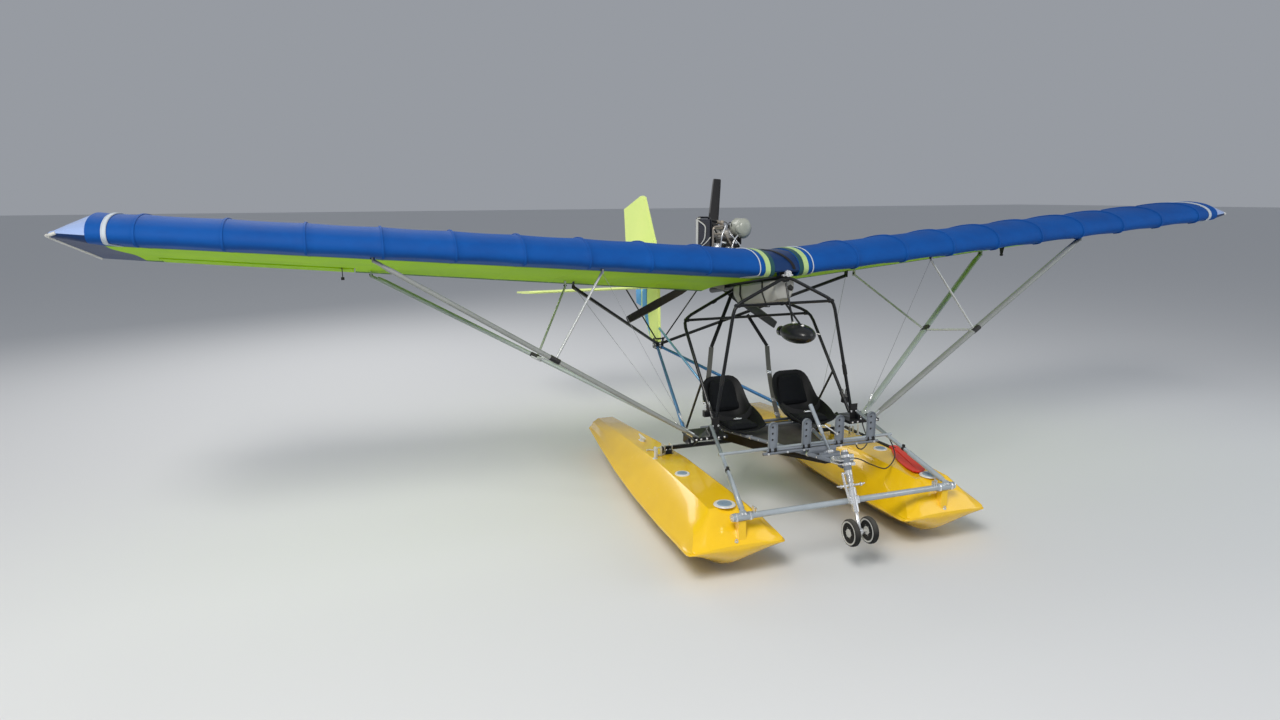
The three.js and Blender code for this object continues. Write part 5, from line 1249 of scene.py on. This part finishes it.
add("muffler_can", can, cream_steel, stands_for=["muffler"], smooth=50)
mounts = bmesh.new()
strip(mounts, at(0.106, 1.020, 2.268), at(0.170, 1.020, 2.290), 0.010, 0.030, (0, 1, 0))
block(mounts, at(0.098, 0.990, 2.215), at(0.112, 1.050, 2.285))
strip(mounts, at(0.105, 1.020, 2.225), at(0.080, 1.020, 2.120), 0.012, 0.034, (0, 1, 0))
add("muffler_bracket", mounts, black_fitting, bevel=0.002)
springs = bmesh.new()
for s in (-1, 1):
    a, b = Vector((0.126 + s * 0.024, 1.098, 2.262)), Vector((0.126 + s * 0.027, 1.088, 2.300))
    coil = [at(*(a.lerp(b, k / 48) + Vector((0.0045 * math.cos(k * 1.05), 0.0045 * math.sin(k * 1.05), 0)))) for k in range(49)]
    tube(springs, coil, 0.0011, 6)
add("muffler_springs", springs, bright_alloy)


# Floor: grey tubes that meet at the nose, with a dark laminated pan hung below them.
# Pale plates tie the nose tubes together, and bolts hold the cross tubes.
grey_paint = coated("grey_tube_paint", (0.16, 0.18, 0.21), 0.34, 0.10, (0.45, 0.45, 0.45))
dressed("floor_frame", "floor_tubes", grey_paint, smooth=50)
floor_laminate = coated("dark_floor_laminate", (0.012, 0.010, 0.008), 0.5, 0.25, (0.12, 0.11, 0.09))
dressed("floor_skin", "floor_pan", floor_laminate, bevel=0.006)
rivets = bmesh.new()
for side, s in SIDES:
    back, nose = Vector((s * 0.425, 0.380, 0.700)), Vector((s * 0.025, -0.945, 0.745))
    for k in range(12):
        spot = back.lerp(nose, 0.04 + 0.074 * k)
        bolt(rivets, at(*spot) + Vector((s * 0.0155, 0, 0)), (s, 0, 0), 0.0042)
        if k % 3 == 1:
            disc(rivets, at(*spot), nose - back, 0.0178, 0.016, 20)
    for x in (0.16, 0.30, 0.46):
        bolt(rivets, at(s * x, -0.6775, 0.779), (0, -1, 0), 0.005)
    for x, y in ((0.20, 0.12), (0.47, 0.12), (0.20, 0.18), (0.47, 0.18)):
        bolt(rivets, at(s * x, y, 0.7475), (0, 0, 1), 0.005)
add("floor_bolts", rivets, bright_alloy)

# Seats: one black moulded bucket on each side, bolted to the cross tubes.
# A thick padded cushion lies in each, and another one leans on its back.
shell_black = coated("seat_shell_black", (0.002, 0.0025, 0.0035), 0.55, 0.02, (0.05, 0.05, 0.05))
seat_cloth, tree, shader = plain_finish("seat_cushion_cloth", 0.85)
rough_cloth = placed(tree, weave_and_shade, Threads=300.0, Slack=1.0)
# The cushion cloth is darker in the hollows of its slack relief and lighter on the raised parts: painted shade.
tint = mixed(tree, rough_cloth.outputs["Shade"], (0.0015, 0.002, 0.003), (0.005, 0.0065, 0.009))
tree.links.new(tint, shader.inputs["Base Color"])
tree.links.new(ramped(tree, rough_cloth.outputs["Shade"], 0.75, 0.95), shader.inputs["Roughness"])
bumped(tree, shader, rough_cloth.outputs["Height"], 0.5, 0.006)
shader.inputs["Specular IOR Level"].default_value = 0.2
shader.inputs["Sheen Weight"].default_value = 0.03
shader.inputs["Sheen Roughness"].default_value = 0.5
SHELL = [
    (-0.064, 0.772, 0.176, 0.040), (0.000, 0.758, 0.188, 0.066), (0.060, 0.751, 0.196, 0.092), (0.140, 0.749, 0.200, 0.114),
    (0.225, 0.751, 0.200, 0.130), (0.290, 0.772, 0.198, 0.128), (0.335, 0.806, 0.195, 0.118), (0.375, 0.860, 0.190, 0.098),
    (0.408, 0.925, 0.186, 0.074), (0.435, 0.990, 0.180, 0.054), (0.454, 1.045, 0.168, 0.038), (0.464, 1.085, 0.148, 0.024),
    (0.470, 1.110, 0.118, 0.014), (0.472, 1.121, 0.080, 0.008),
]
for side, s in SIDES:
    bucket = bmesh.new()
    sections = []
    for i, (y, z, half, rise) in enumerate(SHELL):
        before, after = SHELL[max(i - 1, 0)], SHELL[min(i + 1, len(SHELL) - 1)]
        way = Vector((after[0] - before[0], after[1] - before[1])).normalized()
        shape = [(k / 10 - 1, 0.006 + (rise - 0.006) * abs(k / 10 - 1) ** 3.2) for k in range(21)]
        shape += [(1.05, rise + 0.004), (1.075, rise - 0.004)] + [((1 - k / 8) * 1.03, -0.006 + rise * 0.92 * abs(1 - k / 8) ** 3.6) for k in range(17)] + [(-1.075, rise - 0.004), (-1.05, rise + 0.004)]
        sections.append([at(s * 0.335 + x * half, y - way.y * d, z + way.x * d) for x, d in shape])
    lofted(bucket, sections)
    add("seat_shell_" + side, bucket, shell_black, stands_for=["seat_" + side], smooth=60)


def cushion(name, stations, thick, s):
    mesh = bmesh.new()
    sections = []
    for i, (y, z, half) in enumerate(stations):
        before, after = stations[max(i - 1, 0)], stations[min(i + 1, len(stations) - 1)]
        way = Vector((after[0] - before[0], after[1] - before[1])).normalized()
        end = 0.55 if i in (0, len(stations) - 1) else 1.0
        ring = []
        for x, depth in ((-0.92, 0.016), (-0.5, 0.010), (0.0, 0.010), (0.5, 0.010), (0.92, 0.016), (0.92, 0.016 + thick * 0.7 * end), (0.5, 0.010 + thick * end), (0.0, 0.008 + thick * end), (-0.5, 0.010 + thick * end), (-0.92, 0.016 + thick * 0.7 * end)):
            ring.append(at(s * 0.335 + x * half * 0.86, y - way.y * depth, z + way.x * depth))
        sections.append(ring)
    lofted(mesh, sections)
    piece = add(name, mesh, seat_cloth, smooth=60)
    remesh = piece.modifiers.new("even_faces", "REMESH")
    remesh.mode = "VOXEL"
    remesh.voxel_size = 0.009
    bpy.context.view_layer.objects.active = piece
    with bpy.context.temp_override(object=piece, active_object=piece, selected_objects=[piece]):
        bpy.ops.object.modifier_apply(modifier="even_faces")
    return piece




def puffed(piece, push, cap):
    still = [v.co.copy() for v in piece.data.vertices]
    cloth = piece.modifiers.new("air", "CLOTH")
    cloth.settings.use_pressure = True
    cloth.settings.uniform_pressure_force = push
    cloth.settings.effector_weights.gravity = 0
    cloth.point_cache.frame_start, cloth.point_cache.frame_end = 1, 20
    for frame_number in range(1, 21):
        bpy.context.scene.frame_set(frame_number)
    swollen = piece.evaluated_get(bpy.context.evaluated_depsgraph_get())
    moved = [v.co.copy() for v in swollen.data.vertices]
    piece.modifiers.remove(cloth)
    bpy.context.scene.frame_set(1)
    for v, was, now in zip(piece.data.vertices, still, moved):
        step = now - was
        v.co = was + step * min(1, cap / max(step.length, 1e-6))
    piece.data.shade_smooth()
    soft = piece.modifiers.new("soft", "SUBSURF")
    soft.levels = soft.render_levels = 1


SEAT_PAD = [(-0.040, 0.767, 0.176), (0.040, 0.753, 0.195), (0.140, 0.751, 0.198), (0.225, 0.752, 0.196)]
BACK_PAD = [(0.345, 0.822, 0.188), (0.380, 0.880, 0.186), (0.412, 0.945, 0.180), (0.442, 1.020, 0.168), (0.460, 1.080, 0.138), (0.467, 1.102, 0.100)]
for side, s in SIDES:
    puffed(cushion("seat_cushion_" + side, SEAT_PAD, 0.036, s), 4.0, 0.018)
    puffed(cushion("back_cushion_" + side, BACK_PAD, 0.026, s), 4.0, 0.014)

# Harness: grey-beige webbing from the root tube over the shoulders, sewn to black straps at the top.
# Bright clips and square buckles join it, and a black lap belt lies across each seat.
belt_cloth, tree, shader = plain_finish("belt_webbing", 0.7)
ribs = placed(tree, weave_and_shade, Threads=420.0, Slack=0.3)
wear = placed(tree, scuffs, Scale=12.0, Amount=0.6)
# The webbing is darker in the hollows of its relief and lighter on the raised parts: painted shade, with real wear laid
# over it.
tint = mixed(tree, ribs.outputs["Shade"], (0.055, 0.058, 0.052), (0.10, 0.10, 0.09))
tint = mixed(tree, math_node(tree, "MULTIPLY", wear.outputs["Mask"], 0.5), tint, (0.10, 0.10, 0.09))
tree.links.new(tint, shader.inputs["Base Color"])
tree.links.new(ramped(tree, ribs.outputs["Shade"], 0.6, 0.8), shader.inputs["Roughness"])
bumped(tree, shader, ribs.outputs["Height"], 0.4, 0.002)


def strap(mesh, points, wide, thick, across):
    path = [Vector(p) for p in points]
    sections = []
    for i, p in enumerate(path):
        way = (path[min(i + 1, len(path) - 1)] - path[max(i - 1, 0)]).normalized()
        side = (Vector(across) - way * way.dot(Vector(across))).normalized() * wide / 2
        out = way.cross(side).normalized() * thick / 2
        sections.append([p - side - out, p + side - out, p + side + out, p - side + out])
    lofted(mesh, sections)


upper_belts, lower_belts, clips = bmesh.new(), bmesh.new(), bmesh.new()
BELTS = (
    ((0.040, 0.700, 1.607), (0.205, 0.620, 1.324), (0.168, 0.500, 1.110), (0.128, 0.330, 0.900), (0.100, 0.190, 0.775)),
    ((-0.012, 0.905, 1.790), (-0.354, 0.600, 1.354), (-0.418, 0.520, 1.071), (-0.470, 0.470, 0.985), (-0.490, 0.400, 0.900)),
)
for top, shoulder, chest, waist, lap in BELTS:
    top, shoulder, chest, waist, lap = (at(*p) for p in (top, shoulder, chest, waist, lap))
    strap(upper_belts, [top, top.lerp(shoulder, 0.35), top.lerp(shoulder, 0.7), shoulder], 0.032, 0.003, (1, 0, 0))
    strap(lower_belts, eased([shoulder, chest, waist, lap], 4), 0.044, 0.003, (1, 0, 0))
    for spot, far, size in ((chest, waist, 0.014), (waist, lap, 0.018), (waist.lerp(lap, 0.8), lap, 0.018)):
        way = (far - spot).normalized()
        strip(clips, spot - way * size, spot + way * size, 0.040, 0.009, Vector((0, 1, 0)))
        strip(clips, spot - way * size * 0.3, spot + way * size * 0.3, 0.056, 0.013, Vector((0, 1, 0)))
add("shoulder_straps", upper_belts, webbing)
add("harness_belts", lower_belts, belt_cloth)
add("harness_clips", clips, bright_alloy, bevel=0.002)
for side, s in SIDES:
    lap_belt = bmesh.new()
    route = [(-0.196, 0.225, 0.878), (-0.130, 0.170, 0.838), (-0.040, 0.140, 0.818), (0.040, 0.140, 0.818), (0.130, 0.170, 0.838), (0.196, 0.225, 0.878)]
    strap(lap_belt, eased([at(s * 0.335 + x, y, z) for x, y, z in route], 4), 0.046, 0.003, (0, 0.4, 1))
    add("lap_belt_" + side, lap_belt, webbing)
    buckle = bmesh.new()
    middle = at(s * 0.335 + 0.012, 0.136, 0.8195)
    strip(buckle, middle - Vector((0.034, 0, 0)), middle + Vector((0.034, 0, 0)), 0.054, 0.012, (0, 0.4, 1))
    strip(buckle, middle - Vector((0.014, 0.004, -0.006)), middle + Vector((0.014, -0.004, 0.006)), 0.030, 0.012, (0, 0.4, 1))
    add("lap_buckle_" + side, buckle, bright_alloy, bevel=0.003)

# Pedals: four holed alloy plates with folded rims, on hinges round the cross bar.
# Each hole has a raised ring, and bolts hold each plate's foot at its hinges.
pedal_alloy = coated("pedal_alloy", (0.20, 0.225, 0.26), 0.35, 0.08, (0.5, 0.5, 0.5), coat=0.3)
dressed("rudder_pedals", "pedal_plates", pedal_alloy, bevel=0.0015)
rims, hinges = bmesh.new(), bmesh.new()
for x in (-0.426, -0.143, 0.143, 0.426):
    for edge in (-0.036, 0.036):
        strip(rims, at(x + edge * 0.96, -0.6745, 0.800), at(x + edge * 0.96, -0.6745, 0.986), 0.0022, 0.013, (0, 1, 0))
    arch = [at(x + 0.0345 * math.cos(math.pi * k / 12), -0.6745, 0.986 + 0.0345 * math.sin(math.pi * k / 12)) for k in range(13)]
    strap(rims, arch, 0.013, 0.0022, (0, 1, 0))
    for z in (0.884, 0.932, 0.980):
        ring = [at(x + 0.0105 * math.cos(math.tau * k / 16), -0.669, z + 0.0105 * math.sin(math.tau * k / 16)) for k in range(17)]
        tube(rims, ring, 0.0018, 6)
        disc(hinges, at(x, -0.6655, z), (0, 1, 0), 0.0094, 0.003, 20)
    for edge in (-0.024, 0.024):
        disc(hinges, at(x + edge, -0.665, 0.802), (1, 0, 0), 0.0145, 0.020, 20)
        bolt(hinges, at(x + edge, -0.6775, 0.816), (0, -1, 0), 0.0045)
add("pedal_rims", rims, pedal_alloy)
add("pedal_hinges", hinges, black_fitting, bevel=0.001)

# Stick: a pale painted tube on a cross pin, with a ribbed grey grip over its upper half.
# A pale link rod crosses from its stand-off to the port pedal.
stick_paint = coated("stick_paint", (0.36, 0.41, 0.46), 0.3, 0.06, (0.6, 0.6, 0.6), coat=0.4)
dressed("control_stick", "stick_tube", stick_paint, smooth=50)
grip = bmesh.new()
foot, head = at(0, -0.665, 0.886), at(0, -0.4785, 1.0665)
girths = [0.0125, 0.0145, 0.0140, 0.0150, 0.0145, 0.0155, 0.0150, 0.0165, 0.0150]
tube(grip, [foot.lerp(head, k / 8) for k in range(9)], 0.017, 20, girths)
grip_grey = coated("stick_grip_grey", (0.30, 0.34, 0.38), 0.5, 0.1, (0.5, 0.5, 0.5))
add("stick_grip", grip, grip_grey, smooth=60)
stick_trim = bmesh.new()
disc(stick_trim, at(0, -0.775, 0.779), (1, 0, 0), 0.0165, 0.044, 24)
for x in (-0.030, 0.030):
    bolt(stick_trim, at(x, -0.775, 0.779), (x, 0, 0), 0.006)
disc(stick_trim, at(0, -0.619, 0.930), (0, -0.255, -0.247), 0.0145, 0.020, 20)
tube(stick_trim, [at(0, -0.619, 0.930), at(0.004, -0.650, 0.946), at(0.012, -0.676, 0.952), at(0.070, -0.6775, 0.912), at(0.118, -0.6775, 0.878)], 0.006, 10)
disc(stick_trim, at(0.122, -0.672, 0.875), (0, 1, 0), 0.011, 0.012, 16)
add("stick_fittings", stick_trim, bright_alloy, bevel=0.001)

# Nose gear: a bright leg in a clamped head, a forked crown and two small wheels on one axle.
# Two plates carry the head between the floor tubes, and push rods end in eyes on the crown.
dressed("nose_fork", "nose_leg", bright_alloy, "nose_fork", smooth=50)


def along(d, x=0.0, out=0.0):
    return at(x, -0.962 - 0.4147 * d - 0.91 * out, 0.832 - 0.91 * d + 0.4147 * out)


plates = bmesh.new()
for z, back in ((0.782, -0.905), (0.756, -0.900)):
    outline = [(-0.078, back), (0.082, back), (0.094, -0.935), (0.060, -0.9995), (-0.060, -0.9995), (-0.090, -0.935)]
    panel(plates, [at(x, y, z) for x, y in outline], 0.007, (0, 0, 1))
for x in (-0.066, 0.066):
    tube(plates, [at(x, -0.925, 0.748), at(x, -0.925, 0.793)], 0.006, 12)
    bolt(plates, at(x, -0.925, 0.791), (0, 0, 1), 0.006)
add("nose_plates", plates, bright_alloy, bevel=0.001)
clamp_block = bmesh.new()
for d in (0.030, 0.088):
    disc(clamp_block, along(d), along(0.2) - along(0.1), 0.035, 0.020, 28)
    strip(clamp_block, along(d, 0.026), along(d, 0.066), 0.022, 0.022, (0, 0, 1))
    bolt(clamp_block, along(d, 0.050, 0.010), (0, -0.91, 0.41), 0.005)
add("nose_head_clamps", clamp_block, bright_alloy, bevel=0.002)
leg_parts = bmesh.new()
for d, r, long in ((0.142, 0.026, 0.014), (0.236, 0.027, 0.016), (0.285, 0.030, 0.060)):
    disc(leg_parts, along(d), along(0.2) - along(0.1), r, long, 28)
spring_path = []
for k in range(97):
    a = math.tau * k / 12
    spring_path.append(along(0.160 + 0.062 * k / 96, 0.0230 * math.cos(a), 0.0230 * math.sin(a)))
tube(leg_parts, spring_path, 0.0032, 6)
tube(leg_parts, [along(0.150, -0.054, 0.006), along(0.240, -0.050, 0.004), along(0.345, -0.034, 0.0)], 0.0095, 14)
strip(leg_parts, along(0.318), along(0.372), 0.074, 0.036, (0, -0.91, 0.4147))
disc(leg_parts, along(0.150, -0.030), (1, 0, 0), 0.008, 0.050, 14)
for x in (-0.075, 0.075):
    disc(leg_parts, along(0.240, x * 1.12), (1, 0, 0), 0.013, 0.010, 20)
    tube(leg_parts, [along(0.240, x * 1.12), along(0.238, x * 1.35), along(0.236, x * 1.55)], 0.0055, 10)
    bolt(leg_parts, along(0.240, x * 1.12, 0.012), (0, -0.91, 0.41), 0.005)
add("nose_leg_fittings", leg_parts, bright_alloy, "nose_fork", bevel=0.001)


def turned(mesh, middle, profile, sides=40):
    rings = [[middle + Vector((x, r * math.cos(a), r * math.sin(a))) for a in (math.tau * k / sides for k in range(sides))] for x, r in profile]
    lofted(mesh, rings)


hub_y, hub_z = -1.200, 0.318
tyres, rims = bmesh.new(), bmesh.new()
TREAD = [(-0.021, 0.074), (-0.0238, 0.082), (-0.0215, 0.090), (-0.014, 0.0960), (-0.007, 0.0978), (-0.005, 0.0965), (0.005, 0.0965), (0.007, 0.0978), (0.014, 0.0960), (0.0215, 0.090), (0.0238, 0.082), (0.021, 0.074)]
for s in (-1, 1):
    middle = at(s * 0.074, hub_y, hub_z)
    turned(tyres, middle, TREAD, 48)
    for face in (-1, 1):
        out = [(0.0205, 0.085), (0.0240, 0.0845), (0.0240, 0.075), (0.0195, 0.072), (0.0165, 0.048), (0.0165, 0.032), (0.0225, 0.030), (0.0225, 0.014)]
        turned(rims, middle, [(face * x, r) for x, r in out], 40)
        for k in range(6):
            a = math.tau * k / 6
            bolt(rims, middle + Vector((face * 0.0170, 0.038 * math.cos(a), 0.038 * math.sin(a))), (face, 0, 0), 0.0038)
disc(rims, at(0, hub_y, hub_z), (1, 0, 0), 0.0088, 0.195, 20)
for s in (-1, 1):
    bolt(rims, at(s * 0.0925, hub_y, hub_z), (s, 0, 0), 0.0085)
black_tyre = coated("tyre_rubber", (0.012, 0.012, 0.012), 0.75, 0.4, (0.04, 0.04, 0.04))
wheel_alloy = coated("wheel_rim_alloy", (0.52, 0.52, 0.49), 0.28, 0.08, (0.3, 0.3, 0.3), coat=0.5)
add("nose_tyres", tyres, black_tyre, "nose_wheels", stands_for=["nose_wheels"], smooth=60)
add("nose_wheel_rims", rims, wheel_alloy, "nose_wheels", bevel=0.001)

# Paddle: a red blade and a black shaft, stowed on the port float deck against the spreader.
# A strap holds the shaft, so it stays put on the water.
paddle_red = coated("paddle_red", (0.72, 0.030, 0.008), 0.35, 0.05, (0.3, 0.2, 0.18))
blade_spots = [
    (1.022, -0.150, 0.5075), (1.030, -0.092, 0.5065), (1.090, -0.110, 0.5065), (1.116, -0.165, 0.5070), (1.062, -0.381, 0.5105),
    (0.992, -0.600, 0.5145), (0.945, -0.700, 0.5165), (0.880, -0.762, 0.5175), (0.815, -0.778, 0.5175), (0.785, -0.745, 0.5170),
    (0.797, -0.641, 0.5155), (0.845, -0.480, 0.5125), (0.900, -0.360, 0.5105), (0.965, -0.240, 0.5085),
]
blade = bmesh.new()
panel(blade, [at(*p) for p in blade_spots], 0.007, (0, 0, 1))
spine = [at(0.850, -0.700, 0.5190), at(0.930, -0.480, 0.5165), at(1.000, -0.280, 0.5130), at(1.030, -0.130, 0.5065)]
tube(blade, spine, 0.010, 12, [0.003, 0.008, 0.012, 0.015], flat=0.8)
add("paddle_blade", blade, paddle_red, bevel=0.0025)
shaft = bmesh.new()
tube(shaft, [at(1.028, -0.190, 0.5075), at(1.030, -0.090, 0.5035), at(1.031, 0.060, 0.4975), at(1.031, 0.300, 0.4965), at(1.031, 0.560, 0.4965)], 0.014, 16)
for y in (0.09, 0.17, 0.25):
    disc(shaft, at(1.031, y, 0.497), (0, 1, 0), 0.0152, 0.012, 16)
add("paddle_shaft", shaft, black_rubber, bevel=0.001, smooth=50)

low, high = cad_box
